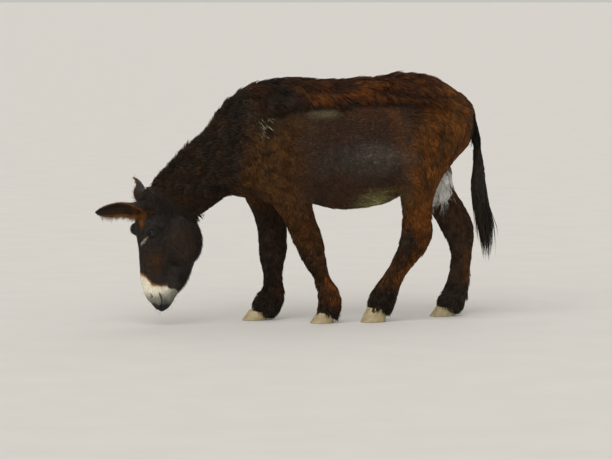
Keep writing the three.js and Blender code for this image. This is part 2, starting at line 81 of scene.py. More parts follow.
# ---- what a user would change


def length_setting(name, description, default, low, high):
    """A size in metres."""
    return FloatProperty(
        name=name, description=description, default=default, min=low, max=high, unit="LENGTH", precision=4
    )


def colour_setting(name, description, code):
    """A colour, given as sRGB hex and held as linear."""
    return FloatVectorProperty(
        name=name, description=description, default=linear(code), size=3, min=0, max=1, subtype="COLOR"
    )


def share_setting(name, description, default, low=0.0, high=2.0):
    """A plain factor."""
    return FloatProperty(name=name, description=description, default=default, min=low, max=high)


class HideSettings(bpy.types.PropertyGroup):
    """Sizes of the hide and of what is set into it."""

    cell: length_setting("Cell", "Size of the hide's faces on the body", 0.0095, 0.005, 0.02)
    eye_radius: length_setting("Eye radius", "Radius of the eyeball", 0.0195, 0.012, 0.03)
    lid: length_setting("Lid", "Thickness of the eyelids", 0.003, 0.001, 0.006)
    nostril_depth: length_setting("Nostril depth", "Depth of each nostril", 0.018, 0.0, 0.03)
    mouth_depth: length_setting("Mouth depth", "Depth of the line between the lips", 0.008, 0.0, 0.02)


class CoatSettings(bpy.types.PropertyGroup):
    """How full, long and ragged the coat is."""

    seed: IntProperty(name="Seed", description="Start of every random draw", default=7, min=0)
    fullness: share_setting("Fullness", "Number of tufts, as a share of the full coat", 1.0, 0.02, 1.5)
    length: share_setting("Length", "Length of the tufts, as a share of a winter coat", 1.0, 0.3)
    raggedness: share_setting("Raggedness", "How far tufts stray from the lie of the coat", 1.0)
    gathering: share_setting("Gathering", "How strongly tufts draw together into locks", 1.0, 0.0, 1.5)


class ColourSettings(bpy.types.PropertyGroup):
    """Colours of the coat, the bare skin, the eyes and the horn."""

    red_back: colour_setting("Back", "Long sun-reddened hair along the back", "#381f10")
    brown: colour_setting("Brown", "Shoulders and haunches", "#52361a")
    rust: colour_setting("Rust", "Reddest locks of the rump and legs", "#824b1a")
    # the flank's tone also carries its painted sheen
    slate: colour_setting("Flank", "Sleek hair of the flank", "#4c4339")
    # black also carries the painted shadow under the back's long hair
    black: colour_setting("Black", "Neck, chest, face and joints", "#2c251e")
    bark: colour_setting("Dark brown", "Legs and lower sides", "#432b18")
    straw: colour_setting("Straw", "Pale tips and the hind belly", "#9a906a")
    white: colour_setting("White", "Muzzle", "#f4ecd4")
    inner_white: colour_setting("Groin white", "Inside of the thighs", "#fbf9f2")
    tan: colour_setting("Tan", "Rim of the muzzle patch and fringes of the ears", "#8a5620")
    # the lip's tone also carries painted shade in the nostrils and in the line between the lips
    lip: colour_setting("Lip", "Bare skin of the lips, nostrils and lids", "#211f1d")
    tail: colour_setting("Tail", "Switch of the tail", "#191713")
    grey: colour_setting("Grey", "Thinly haired grey skin of lips and chin", "#8b8d80")
    horn: colour_setting("Horn", "Hoof wall", "#bba87f")
    horn_dark: colour_setting("Dark horn", "Stain and growth rings of the hooves", "#877858")
    iris: colour_setting("Iris", "Iris of the eyes", "#20130b")


class StageSettings(bpy.types.PropertyGroup):
    """Floor, lights and camera."""

    floor: colour_setting("Floor", "Pale studio floor", "#d9d6d0")
    sky: share_setting("Sky", "Strength of the light from all round", 0.62, 0.0, 5.0)
    key: share_setting("Key light", "Strength of the broad soft light, left front", 1.85, 0.0, 10.0)
    fill: share_setting("Fill light", "Strength of the soft light from behind", 0.45, 0.0, 10.0)
    azimuth: FloatProperty(
        name="Azimuth",
        description="Camera's turn round the animal",
        default=math.radians(-12),
        subtype="ANGLE",
    )
    distance: length_setting("Distance", "From the camera to the animal, level", 16.0, 4.0, 60.0)
    eye_height: length_setting("Eye height", "Height of the camera", 1.6, 0.2, 4.0)


# ---- the animal's sizes, mm and degrees

# Trunk: [x, height of the back, height of the underline, half width]
TRUNK = [
    [-395, 830, 665, 70], [-340, 985, 606, 135], [-250, 1158, 592, 180], [-130, 1217, 590, 208],
    [40, 1214, 588, 232], [200, 1214, 556, 246], [320, 1225, 572, 245], [400, 1231, 622, 240],
    [470, 1235, 676, 232], [560, 1242, 712, 222], [640, 1234, 750, 208], [720, 1190, 822, 182],
    [770, 1138, 905, 136], [782, 1085, 985, 82],
]
WIDEST = 0.44  # the barrel is widest at this share of its height

# Neck: [x, y, z, half depth, half width]
NECK = [
    [-170, 0, 965, 226, 150], [-270, 0, 894, 190, 138], [-385, -6, 832, 170, 118],
    [-495, -18, 770, 162, 102], [-620, -32, 668, 150, 90], [-715, -44, 610, 128, 80],
]

# The head frame stands at HEAD_AT, turned to the left by HEAD_TURN. Inside it, the face looks along -X.
HEAD_AT = np.array([-700.0, -50.0, 0.0])
HEAD_TURN = math.radians(20)
# Face: [height, front line of the face, half depth, half width]
FACE = [
    [655, -142, 50, 48], [605, -184, 86, 70], [545, -196, 100, 84], [480, -190, 106, 88],
    [400, -178, 102, 80], [320, -173, 89, 68], [240, -166, 81, 58], [185, -147, 73, 54],
    [145, -120, 61, 55], [118, -94, 44, 46], [104, -80, 32, 36], [92, -64, 18, 24],
]
# Jaw: [height, back line of the jaw, half depth, half width]
JAW = [
    [505, 128, 70, 72], [445, 162, 88, 82], [390, 168, 92, 80], [330, 146, 80, 68],
    [260, 111, 68, 55], [200, 70, 56, 46], [155, 26, 40, 42], [126, 2, 30, 38], [106, -18, 22, 26],
    [94, -34, 12, 18],
]
CHEEK = ([42, 58, 415], [112, 50, 118])
BROW = ([-142, 68, 481], [46, 34, 40])
EYE_AT = np.array([-145.0, 75.0, 470.0])
EYE_LOOKS = np.array([-0.5, 0.86, 0.02])  # outwards and a little forwards
EYE_CORNER = np.array([-0.3, 0.0, -0.95])  # from the eye to its inner corner

# Ears, in the head frame: where each starts, the way it points, the ways it opens at its tip and at its
# root, and how far its back bows
EARS = {
    "ear_left": ([-126, -48, 592], [-0.96, 0.12, -0.05], [0.1, -0.86, -0.5], [-0.1, -0.5, -0.95], 14),
    "ear_right": ([-114, 50, 600], [0.3, 0.86, 0.36], [-0.8, 0.1, -0.4], [-0.9, -0.2, -0.5], 12),
}
EAR_LENGTH = 300
EAR_HALF_WIDTH = 50
EAR_SKIN = 7.0  # thickness of the gristle at the root
EAR_COAT = 3.0  # depth of the hair on its back
EAR_CURL = (168, 66)  # half angle of the rolled section, at the root and from two thirds up

# Upper legs, inside the trunk: [x, distance from the midline, z, half depth, half width]
SHOULDER_LEFT = [
    [-235, 84, 1010, 92, 62], [-225, 112, 880, 124, 82], [-160, 126, 745, 122, 84],
    [-92, 118, 620, 92, 70],
]
SHOULDER_RIGHT = [
    [-240, 84, 1010, 92, 62], [-240, 112, 880, 124, 82], [-215, 126, 745, 118, 84],
    [-182, 118, 620, 92, 70],
]
THIGH_LEFT = [
    [650, 96, 1050, 120, 92], [626, 122, 930, 150, 100], [582, 130, 815, 132, 96],
    [541, 130, 715, 104, 80],
]
THIGH_RIGHT = [
    [650, 96, 1050, 120, 92], [656, 122, 930, 156, 100], [652, 130, 815, 126, 94],
    [686, 130, 715, 96, 80],
]
# Free legs down to the coronet: the same five numbers
FORE_LEFT = [
    [-92, 118, 620, 92, 70], [-46, 112, 500, 78, 60], [-6, 108, 405, 75, 54], [22, 108, 318, 61, 54],
    [51, 108, 250, 46, 42], [70, 108, 195, 48, 41], [93, 108, 140, 63, 50], [98, 108, 96, 62, 51],
    [88, 108, 62, 56, 52], [84, 108, 40, 52, 50],
]
FORE_RIGHT = [
    [-182, 118, 620, 92, 70], [-156, 112, 500, 81, 60], [-149, 108, 405, 77, 54],
    [-150, 108, 318, 70, 54], [-149, 108, 250, 56, 43], [-146, 108, 195, 56, 42],
    [-146, 108, 140, 62, 48], [-154, 108, 114, 66, 50], [-172, 108, 92, 76, 52],
    [-190, 108, 64, 72, 53], [-200, 108, 40, 58, 50],
]
HIND_LEFT = [
    [541, 130, 715, 104, 80], [541, 124, 610, 86, 66], [545, 118, 520, 80, 56],
    [543, 114, 440, 86, 50], [512, 112, 362, 70, 46], [466, 112, 290, 55, 42],
    [422, 112, 222, 54, 42], [385, 112, 150, 66, 50], [358, 112, 104, 72, 52], [350, 112, 76, 62, 52],
    [344, 112, 50, 54, 50],
]
HIND_RIGHT = [
    [686, 130, 715, 96, 80], [728, 124, 610, 84, 66], [782, 118, 515, 88, 56],
    [822, 114, 435, 84, 50], [832, 112, 355, 65, 46], [831, 112, 285, 58, 42],
    [826, 112, 215, 60, 42], [813, 112, 150, 67, 50], [797, 112, 104, 69, 51], [784, 112, 84, 74, 52],
    [768, 112, 66, 68, 52], [755, 112, 38, 54, 50],
]
LEGS = {
    ("fore", NEAR): FORE_LEFT,
    ("fore", FAR): FORE_RIGHT,
    ("hind", NEAR): HIND_LEFT,
    ("hind", FAR): HIND_RIGHT,
}

# Hooves: x of the toe and of the heel on the floor, and the heights of the coronet at toe and heel
HOOVES = {
    "hoof_fore_left": dict(side=NEAR, y=108, toe=-3, heel=116, front=54, back=48),
    "hoof_fore_right": dict(side=FAR, y=108, toe=-306, heel=-182, front=52, back=32),
    "hoof_hind_left": dict(side=NEAR, y=112, toe=254, heel=384, front=76, back=62),
    "hoof_hind_right": dict(side=FAR, y=112, toe=668, heel=794, front=52, back=34),
}
HOOF_SLOPE = 38  # the toe's wall leans back by this much from floor to coronet
HEEL_SLOPE = 4  # and the heel's wall by this much
HOOF_HALF_WIDTH = 50
CORONET_WIDTH = 0.87  # of the hoof's width at the floor
HEEL_WIDTH = 0.84

# Tail: [x, z, half depth, half width]. The flesh tapers off inside the switch.
DOCK = [
    [776, 1126, 30, 28], [808, 1090, 26, 26], [840, 1036, 25, 24], [868, 960, 25, 24],
    [884, 880, 22, 21], [890, 800, 15, 14],
]
SWITCH = [
    [884, 890, 25, 24], [892, 782, 28, 26], [891, 694, 38, 32], [896, 640, 43, 36],
    [908, 564, 46, 38], [926, 476, 46, 38], [934, 415, 42, 34], [938, 350, 34, 26],
    [938, 306, 24, 18],
]

# Planes, each a point and a normal: head from neck, and neck from body
THROAT = (np.array([-676.0, 0.0, 610.0]), np.array([0.547, 0.0, 0.837]))
SHOULDER = (np.array([-360.0, 0.0, 900.0]), np.array([0.988, 0.0, -0.153]))

# Lower edge of the long hair of the back: [x, z]
CURTAIN_EDGE = [
    [-360, 1040], [-240, 1072], [-117, 1104], [-11, 1099], [160, 1117], [327, 1118], [640, 1110],
]
# How widely forms that meet melt into each other
MELT = dict(shoulder=70, thigh=56, free_leg=36, neck=60, head=44, dock=16, jaw=46, cheek=40, brow=22)
DOWN = np.array([0.0, 0.0, -1.0])

# ---- small numbers work


def unit(v):
    """Vectors scaled to length one."""
    return v / np.maximum(np.linalg.norm(v, axis=-1, keepdims=True), 1e-9)


def mix(a, b, share):
    """From a to b by a share."""
    return a + (b - a) * share


def ease(low, high, v):
    """0 at low and 1 at high, smooth between, whichever of the two is larger."""
    t = np.clip((v - low) / (high - low), 0, 1)
    return t * t * (3 - 2 * t)


def bell(v, at, width):
    """1 at a place and next to nothing more than two widths away from it."""
    return np.exp(-(((v - at) / width) ** 2))


def on_side(place, side):
    """A place or direction that is given for the far side, on either side."""
    return np.asarray(place, float) * [1, side, 1]


def distance(points, at):
    """How far points are from a place."""
    return np.linalg.norm(points - at, axis=-1)


def noise(points, size, seed=0):
    """Smooth noise from -1 to 1, with lumps about size across: one number, or one for each axis."""
    q = points / np.asarray(size, float) + seed * 31.7
    base = np.floor(q).astype(np.int64)
    f = q - base
    f = f * f * (3 - 2 * f)
    total = np.zeros(len(q))
    for corner in range(8):
        step = np.array([corner & 1, corner >> 1 & 1, corner >> 2 & 1])
        cell = base + step
        mark = cell[:, 0] * 73856093 ^ cell[:, 1] * 19349663 ^ cell[:, 2] * 83492791 ^ seed * 5915587
        mark = (mark ^ mark >> 13) * 1274126177
        value = (mark >> 7 & 0xFFFF) / 32767.5 - 1
        total += value * np.prod(np.where(step, f, 1 - f), axis=1)
    return total


def in_metres(points):
    """From the tables' frame, in mm, to the solids' frame, in metres."""
    return (points + SHIFT) * MM


def catmull(a, b, c, d, t):
    """A point between b and c of a curve through a, b, c and d."""
    bend = 2 * a - 5 * b + 4 * c - d
    twist = 3 * b - a - 3 * c + d
    return 0.5 * (2 * b + (c - a) * t + bend * t * t + twist * t**3)


def refine(stations, steps=4):
    """Stations between stations, on a curve through them all."""
    rows = np.array(stations, float)
    before = np.vstack([2 * rows[0] - rows[1], rows[:-2]])
    after = np.vstack([rows[2:], 2 * rows[-1] - rows[-2]])
    fine = [
        catmull(before[i], rows[i], rows[i + 1], after[i], s / steps)
        for i in range(len(rows) - 1)
        for s in range(steps)
    ]
    return np.array([*fine, rows[-1]])


# ---- the field of the flesh

REACH = 130.0  # a form isn't looked at from further off than this
CAP = 0.8  # the ends of a sweep are this round


def ellipsoidal(u, v, w, a, b, c):
    """About the distance to an ellipsoid of radii (a, b, c), negative inside."""
    near = np.sqrt((u / a) ** 2 + (v / b) ** 2 + (w / c) ** 2)
    slope = np.sqrt((u / a**2) ** 2 + (v / b**2) ** 2 + (w / c**2) ** 2)
    return np.where(slope < 1e-9, -np.minimum(a, b), near * (near - 1) / np.maximum(slope, 1e-9))


def sweep(stations):
    """A sweep of ellipses through stations [x, y, z, radius above, radius below, half width]."""
    parts = []
    for s, e in zip(stations[:-1], stations[1:]):
        along = e[:3] - s[:3]
        length = np.linalg.norm(along)
        along = along / length
        across = unit(np.array([0.0, 1.0, 0.0]) - along * along[1])
        upright = np.cross(along, across)
        if upright[2] < 0 or (abs(upright[2]) < 0.3 and upright[0] > 0):
            upright = -upright
        parts.append((s, e, along, across, upright, length))
    margin = stations[:, 3:].max() + REACH
    low = stations[:, :3].min(axis=0) - margin
    high = stations[:, :3].max(axis=0) + margin

    def field(points):
        best = np.full(len(points), REACH)
        close = np.flatnonzero(np.all((points > low) & (points < high), axis=1))
        if not len(close):
            return best
        p = points[close]
        found = np.full(len(p), REACH)
        for s, e, along, across, upright, length in parts:
            d = p - s[:3]
            run = d @ along
            slack = CAP * min(s[3:].max(), e[3:].max()) + 40
            pick = np.flatnonzero((run > -slack) & (run < length + slack))
            d = d[pick]
            run = run[pick]
            t = np.clip(run / length, 0, 1)
            rise = d @ upright
            deep = np.where(rise > 0, mix(s[3], e[3], t), mix(s[4], e[4], t))
            wide = mix(s[5], e[5], t)
            cap = np.minimum(deep, wide) * CAP
            value = ellipsoidal(rise, d @ across, run - t * length, deep, wide, cap)
            found[pick] = np.minimum(found[pick], value)
        best[close] = found
        return best

    return field


def ellipsoid(at, radii, side=1):
    """An ellipsoid, on one side of the middle."""
    centre = np.array([at[0], at[1] * side, at[2]], float)
    return lambda points: ellipsoidal(*(points - centre).T, *radii)


def blend(a, b, width):
    """The two forms joined, melted together where they are about width apart."""
    h = np.maximum(width - np.abs(a - b), 0) / width
    return np.minimum(a, b) - h * h * width / 4


def carve(a, b, width):
    """The first form with the second cut out of it, its edge rounded."""
    return -blend(-a, b, width)


def rows(stations, arrange):
    """Stations filled in and arranged for a sweep."""
    return np.array([arrange(*row) for row in refine(stations)])


def upright_section(x, top, bottom, half):
    """A trunk section, with its widest height at a share of its depth."""
    middle = bottom + (top - bottom) * WIDEST
    return [x, 0, middle, top - middle, middle - bottom, half]


def leg(stations, side):
    """A leg's sweep, on its side of the animal."""
    return sweep(rows(stations, lambda x, y, z, deep, half: [x, side * y, z, deep, deep, half]))


trunk_form = sweep(rows(TRUNK, upright_section))
neck_form = sweep(rows(NECK, lambda x, y, z, deep, half: [x, y, z, deep, deep, half]))
face_form = sweep(rows(FACE, lambda z, front, deep, half: [front + deep, 0, z, deep, deep, half]))
jaw_form = sweep(rows(JAW, lambda z, back, deep, half: [back - deep, 0, z, deep, deep, half]))
dock_form = sweep(rows(DOCK, lambda x, z, deep, half: [x, 0, z, deep, deep, half]))
upper_legs = [
    (leg(SHOULDER_LEFT, NEAR), MELT["shoulder"]),
    (leg(SHOULDER_RIGHT, FAR), MELT["shoulder"]),
    (leg(THIGH_LEFT, NEAR), MELT["thigh"]),
    (leg(THIGH_RIGHT, FAR), MELT["thigh"]),
]
free_legs = [leg(stations, side) for (_, side), stations in LEGS.items()]
head_lumps = [(ellipsoid(*CHEEK, side), MELT["cheek"]) for side in (NEAR, FAR)]
head_lumps += [(ellipsoid(*BROW, side), MELT["brow"]) for side in (NEAR, FAR)]

TURN = np.array(
    [
        [math.cos(HEAD_TURN), -math.sin(HEAD_TURN), 0],
        [math.sin(HEAD_TURN), math.cos(HEAD_TURN), 0],
        [0, 0, 1],
    ]
)


def into_head(points):
    """Points in the head's own frame."""
    return (points - HEAD_AT) @ TURN


def out_of_head(points):
    """And back."""
    return np.asarray(points, float) @ TURN.T + HEAD_AT


def beyond(plane, points):
    """Height of points over a plane, given by a point and a normal."""
    return (points - plane[0]) @ plane[1]


def head_form(points):
    """The head's flesh and coat."""
    p = into_head(points)
    value = blend(face_form(p), jaw_form(p), MELT["jaw"])
    for piece, width in head_lumps:
        value = blend(value, piece(p), width)
    return value


def flesh(points):
    """The whole animal out to the tips of its coat, without ears."""
    value = trunk_form(points)
    for piece, width in upper_legs:
        value = blend(value, piece(points), width)
    for piece in free_legs:
        value = blend(value, piece(points), MELT["free_leg"])
    value = blend(value, neck_form(points), MELT["neck"])
    value = blend(value, head_form(points), MELT["head"])
    return blend(value, dock_form(points), MELT["dock"])


def curtain_edge(x):
    """Height of the lower edge of the back's long hair."""
    return np.interp(x, *np.array(CURTAIN_EDGE, float).T)


def zones(points):
    """How far points belong to each zone of the coat, from 0 to 1. The numbers are its borders in mm."""
    x, y, z = points.T
    head = ease(35, -35, beyond(THROAT, points)) * ease(-420, -480, x)
    neck = ease(45, -45, beyond(SHOULDER, points)) * (1 - head)
    body = 1 - head - neck
    edge = curtain_edge(x)
    tail = ease(795, 825, x) * ease(700, 740, z) * ease(50, 34, np.abs(y)) * body
    back = ease(edge - 12, edge + 12, z) * ease(-330, -230, x) * ease(700, 600, x) * body
    low = ease(480, 200, z)  # the near hind foot stands far forward
    under_edge = ease(edge - 170, edge - 20, z) * (1 - back) * ease(-300, -200, x)
    fore = ease(650, 540, z) * ease(240, 150, x) * body
    hind = ease(690, 580, z) * ease(330 - 115 * low, 420 - 175 * low, x) * body * (1 - tail)
    return dict(
        head=head,
        neck=neck,
        body=body,
        tail=tail,
        back=back,
        under_edge=under_edge * ease(560, 430, x) * body,
        fore=fore,
        hind=hind,
        legs=np.maximum(fore, hind),
        shoulder=ease(-40, -150, x) * body,
        haunch=ease(440, 560, x) * body * (1 - tail),
        belly=ease(700, 620, z) * ease(-150, -60, x) * ease(500, 430, x) * body,
    )


# Depth of the coat by zone, from the hide to its tips
COAT_DEPTHS = dict(shoulder=12, haunch=13, belly=14, under_edge=17, back=13, neck=14)
SIDE_DEPTH = 11.0  # elsewhere on the body, on the upper legs and on the jaw
FEATHER_DEPTH = 13.0  # round the fetlocks
DOCK_DEPTH = 8.0
FACE_DEPTH = 8.0
MUZZLE_DEPTH = 4.0


def coat_depth(points):
    """How far the hide lies under the tips of the coat."""
    zone = zones(points)
    z = points[:, 2]
    depth = np.full(len(points), SIDE_DEPTH)
    for name, value in COAT_DEPTHS.items():
        depth = mix(depth, float(value), zone[name])
    depth = mix(depth, mix(SIDE_DEPTH, FEATHER_DEPTH, ease(330, 160, z)), zone["legs"])
    depth = mix(depth, DOCK_DEPTH, zone["tail"])
    on_face = into_head(points)
    face = mix(FACE_DEPTH, MUZZLE_DEPTH, ease(300, 200, z) * ease(90, 20, on_face[:, 0]))
    return mix(depth, mix(face, SIDE_DEPTH, ease(20, 110, on_face[:, 0])), zone["head"])


def eye_axes(side):
    """The way an eye looks, towards its inner corner, and across its lids to the upper one."""
    looks = unit(on_side(EYE_LOOKS, side))
    corner = unit(EYE_CORNER - looks * (EYE_CORNER @ looks))
    upper = np.cross(looks, corner) * side
    return looks, corner, upper


def eye_place(p, side):
    """Points of the head frame in an eye's own frame: out of it, to its inner corner, to its upper lid."""
    d = p - on_side(EYE_AT, side)
    return [d @ axis for axis in eye_axes(side)]


EYE_HALF_LENGTH = 17.0
UPPER_LID_RISE = 5.2
LOWER_LID_DROP = 4.2
STREAK = [(-153, 68, 458), (-178, 12, 402)]  # ends of the pale line below the inner corner
STREAK_WIDTHS = (6.0, 4.5)  # half of its width at its ends
NOSTRIL_AT = np.array([-113.0, 24.0, 150.0])
NOSTRIL_AXES = [unit(np.array(v)) for v in ([-0.86, 0.5, -0.1], [0.2, 0.14, 0.96])]
NOSTRIL_RADII = (3.8, 15.0)  # across and along
NOSTRIL_TALL = np.array([1, 1, 1.6])  # how far its bare rim reaches along each axis
MOUTH_X = -77.0  # the line between the lips, half way up, in the head frame
MOUTH_MIDDLE = 133.0
MOUTH_SLANT = 0.27  # it runs back by this share of its drop
MOUTH_TOP = 170.0


LID_CREASES = [  # round the lids: where across them, how far each bows, its width, and its height or depth
    (-6, 11, 3.2, 2.6),
    (4, -10, 3.0, 2.0),
    (-13, 11, 6.5, -2.4),
]


def cut_eye(value, p, side, settings):
    """Lids round an eyeball, open between two arcs, with a crease above and below and a fold over them."""
    ball = settings.eye_radius / MM
    out, corner, upper = eye_place(p, side)
    off = np.sqrt(out**2 + corner**2 + upper**2)
    value = blend(value, off - ball - settings.lid / MM, 15.0)
    arc = 1 - (corner / EYE_HALF_LENGTH) ** 2
    gap = np.maximum(upper - UPPER_LID_RISE * arc, -LOWER_LID_DROP * arc - upper)
    value = carve(value, np.maximum(gap, 5.0 - out), 2.4)
    reach = bell(corner, 0, 24) * (out > 0)
    bow = np.maximum(1 - (corner / 30) ** 2, 0)
    for offset, bowed, width, depth in LID_CREASES:
        value = value + depth * reach * bell(upper + offset, bowed * bow, width)
    return value


def nostril_hole(p, side, more, depth):
    """Distance outside a comma-shaped hole, made larger all round by some more."""
    out, along = [unit(on_side(axis, side)) for axis in NOSTRIL_AXES]
    along = unit(along - out * (out @ along))
    across = np.cross(out, along)
    d = p - on_side(NOSTRIL_AT, side)
    u, v, w = d @ across * side, d @ along, d @ out
    u = u + 5.0 * (v / NOSTRIL_RADII[1]) ** 2
    return ellipsoidal(u, v, w, NOSTRIL_RADII[0] + more, NOSTRIL_RADII[1] + more, depth)


def cut_nostril(value, p, side, settings):
    """A nostril with a swollen rim."""
    rim = nostril_hole(p, side, 7.0, 24.0)
    value = value - 3.0 * bell(rim, 0, 6.0)
    return carve(value, nostril_hole(p, side, 0.0, settings.nostril_depth / MM + 6), 2.5)


def from_mouth(p):
    """How far points lie behind the line between the lips."""
    return p[:, 0] - MOUTH_X + MOUTH_SLANT * (p[:, 2] - MOUTH_MIDDLE)


def cut_mouth(value, p, settings):
    """The line between the lips, on both sides and across the end of the muzzle, with fuller lips by it."""
    off = from_mouth(p)
    ends = ease(MOUTH_TOP + 8, MOUTH_TOP - 8, p[:, 2])
    value = value - 3.0 * ends * bell(np.abs(off), 11, 8)
    groove = np.maximum(np.abs(off) - 2.6, p[:, 2] - MOUTH_TOP)
    depth = settings.mouth_depth / MM
    floor = -(value + depth)
    return carve(value, np.maximum(groove, floor), 3.0)


# Hollows (+) and bumps (-) of the face in the head frame: [x, half width, z, half height, how deep]
FACE_RELIEF = [
    (-62, 24, 470, 30, 5.0),  # behind the eye
    (-14, 22, 132, 20, -3.0),  # chin
    (-116, 22, 205, 22, 2.2),  # above the nostril
]


def head_details(value, points, settings):
    """Folds, lids, nostrils and lips, and the bones that show under the face."""
    p = into_head(points)
    on_face = (p[:, 2] < 640) & (p[:, 0] < 190) & (np.abs(p[:, 1]) < 140)
    close = np.flatnonzero(on_face & (np.abs(value) < 60))
    if not len(close):
        return value
    q, v = p[close], value[close]
    x, _, z = q.T
    crest = -96 + 0.16 * (z - 330)  # the bone that runs down from the eye
    v = v - 3.2 * bell(x, crest, 11) * ease(285, 330, z) * ease(445, 410, z)
    v = v + 3.5 * bell(x, -62, 26) * ease(170, 240, z) * ease(330, 270, z)
    for middle, half_width, height, half_height, deep in FACE_RELIEF:
        v = v + deep * bell(x, middle, half_width) * bell(z, height, half_height)
    edge = -90 + 150 * ease(470, 300, z)  # in front of the round chewing muscle
    v = v + 2.4 * bell(x, edge, 12) * ease(270, 320, z) * ease(440, 400, z)
    for side in (NEAR, FAR):
        v = cut_eye(v, q, side, settings)
        v = cut_nostril(v, q, side, settings)
    v = cut_mouth(v, q, settings)
    value = value.copy()
    value[close] = v
    return value


CORONET_SINK = 4.0  # the leg ends this far below its coronet, inside the hoof
FEET_TOP = 140.0  # the hooves are looked at only below this height


def above_coronets(points):
    """Height over the plane of the coronet of the hoof that is nearest."""
    x, y, _ = points.T
    height = np.full(len(points), REACH)
    for hoof in HOOVES.values():
        x0, x1 = hoof["toe"] + HOOF_SLOPE, hoof["heel"] + HEEL_SLOPE
        normal = unit(np.array([hoof["front"] - hoof["back"], 0.0, x1 - x0]))
        here = (y * hoof["side"] > 0) & (x > hoof["toe"] - 60) & (x < hoof["heel"] + 90)
        at = np.array([x0, 0.0, hoof["front"] - CORONET_SINK])
        height = np.where(here, (points - at) @ normal, height)
    return height


def coat_field(points, settings=None):
    """The hide, under the tips of the coat by its depth; the head has its details only with settings."""
    value = flesh(points) + coat_depth(points)
    if settings:
        value = head_details(value, points, settings)
    low = np.flatnonzero(points[:, 2] < FEET_TOP)
    value[low] = np.maximum(value[low], -above_coronets(points[low]))
    return value


# ---- from field to surface

STRIDE = 4  # cells to a coarse cell
BAND = 34.0  # the field is exact this far from the surface, mm
FIELD_LOW = np.array([-985.0, -285.0, -10.0])
FIELD_HIGH = np.array([950.0, 285.0, 1265.0])


class SampledField:
    """A field on cubic cells, exact near its surface, and read between its points."""

    def __init__(self, field, low, high, cell):
        self.low, self.cell = low, cell
        blocks = np.ceil((high - low) / (cell * STRIDE)).astype(int)
        self.count = blocks * STRIDE + 1
        axes = [low[i] + cell * STRIDE * np.arange(blocks[i] + 1) for i in range(3)]
        coarse = field(np.stack(np.meshgrid(*axes, indexing="ij"), axis=-1).reshape(-1, 3))
        coarse = coarse.reshape(blocks + 1)
        near = np.abs(coarse) < BAND + cell * STRIDE * 1.3
        spread = np.zeros(blocks, bool)
        for corner in range(8):
            i, j, k = corner & 1, corner >> 1 & 1, corner >> 2 & 1
            spread |= near[i : blocks[0] + i, j : blocks[1] + j, k : blocks[2] + k]
        whose = [np.minimum(np.arange(n) // STRIDE, b - 1) for n, b in zip(self.count, blocks)]
        exact = np.argwhere(spread[np.ix_(*whose)])
        half = STRIDE // 2
        nearest = [np.minimum((np.arange(n) + half) // STRIDE, b) for n, b in zip(self.count, blocks)]
        self.values = coarse[np.ix_(*nearest)]
        self.values[tuple(exact.T)] = field(low + exact * cell)
        self.slopes = np.stack(np.gradient(self.values, cell), axis=-1).astype(np.float32)

    def read(self, points):
        """The field's value and the direction away from the surface."""
        q = (points - self.low) / self.cell
        base = np.clip(q.astype(int), 0, self.count - 2)
        f = np.clip(q - base, 0, 1)
        value = np.zeros(len(points))
        slope = np.zeros((len(points), 3))
        for corner in range(8):
            step = np.array([corner & 1, corner >> 1 & 1, corner >> 2 & 1])
            share = np.prod(np.where(step, f, 1 - f), axis=1)
            at = tuple((base + step).T)
            value += self.values[at] * share
            slope += self.slopes[at] * share[:, None]
        return value, unit(slope)


def surface_of(grid):
    """Points and quads of the surface where the field is zero: one point in each cell that it crosses."""
    inside = grid.values < 0
    n = grid.count - 1
    within = np.zeros(n, int)
    for corner in range(8):
        i, j, k = corner & 1, corner >> 1 & 1, corner >> 2 & 1
        within += inside[i : n[0] + i, j : n[1] + j, k : n[2] + k]
    cells = np.argwhere((within > 0) & (within < 8))
    owner = np.full(n, -1)
    owner[tuple(cells.T)] = np.arange(len(cells))
    total = np.zeros((len(cells), 3))
    crossings = np.zeros(len(cells))
    for axis in range(3):
        for corner in range(4):
            offset = np.zeros(3, int)
            offset[(axis + 1) % 3] = corner & 1
            offset[(axis + 2) % 3] = corner >> 1
            after = offset.copy()
            after[axis] += 1
            a = grid.values[tuple((cells + offset).T)]
            b = grid.values[tuple((cells + after).T)]
            cross = (a < 0) != (b < 0)
            t = np.where(cross, a / np.where(cross, a - b, 1), 0)
            total += np.where(cross[:, None], offset + t[:, None] * (after - offset), 0)
            crossings += cross
    points = grid.low + (cells + total / crossings[:, None]) * grid.cell
    quads = []
    for axis in range(3):
        u, w = np.eye(3, dtype=int)[(axis + 1) % 3], np.eye(3, dtype=int)[(axis + 2) % 3]
        first = np.take(inside, np.arange(n[axis]), axis=axis)
        second = np.take(inside, np.arange(1, n[axis] + 1), axis=axis)
        edges = np.argwhere(first != second)
        edges = edges[np.all((edges >= u + w) & (edges < n), axis=1)]
        ring = np.stack([owner[tuple((edges - d).T)] for d in (u + w, w, 0 * u, u)], axis=1)
        outward = first[tuple(edges.T)]
        quads.append(np.where(outward[:, None], ring, ring[:, ::-1]))
    return points, np.vstack(quads)


def settle(points, field, cell, passes=2):
    """Points moved along the field's slope on to its surface."""
    step = cell * 0.05
    p = points.copy()
    for _ in range(passes):
        value = field(p)
        axes = np.eye(3) * step
        slope = np.stack([field(p + a) - field(p - a) for a in axes], axis=1) / (2 * step)
        steep = np.maximum((slope**2).sum(axis=1), 0.05)
        p += slope * np.clip(-value / steep, -cell * 0.5, cell * 0.5)[:, None]
    return p


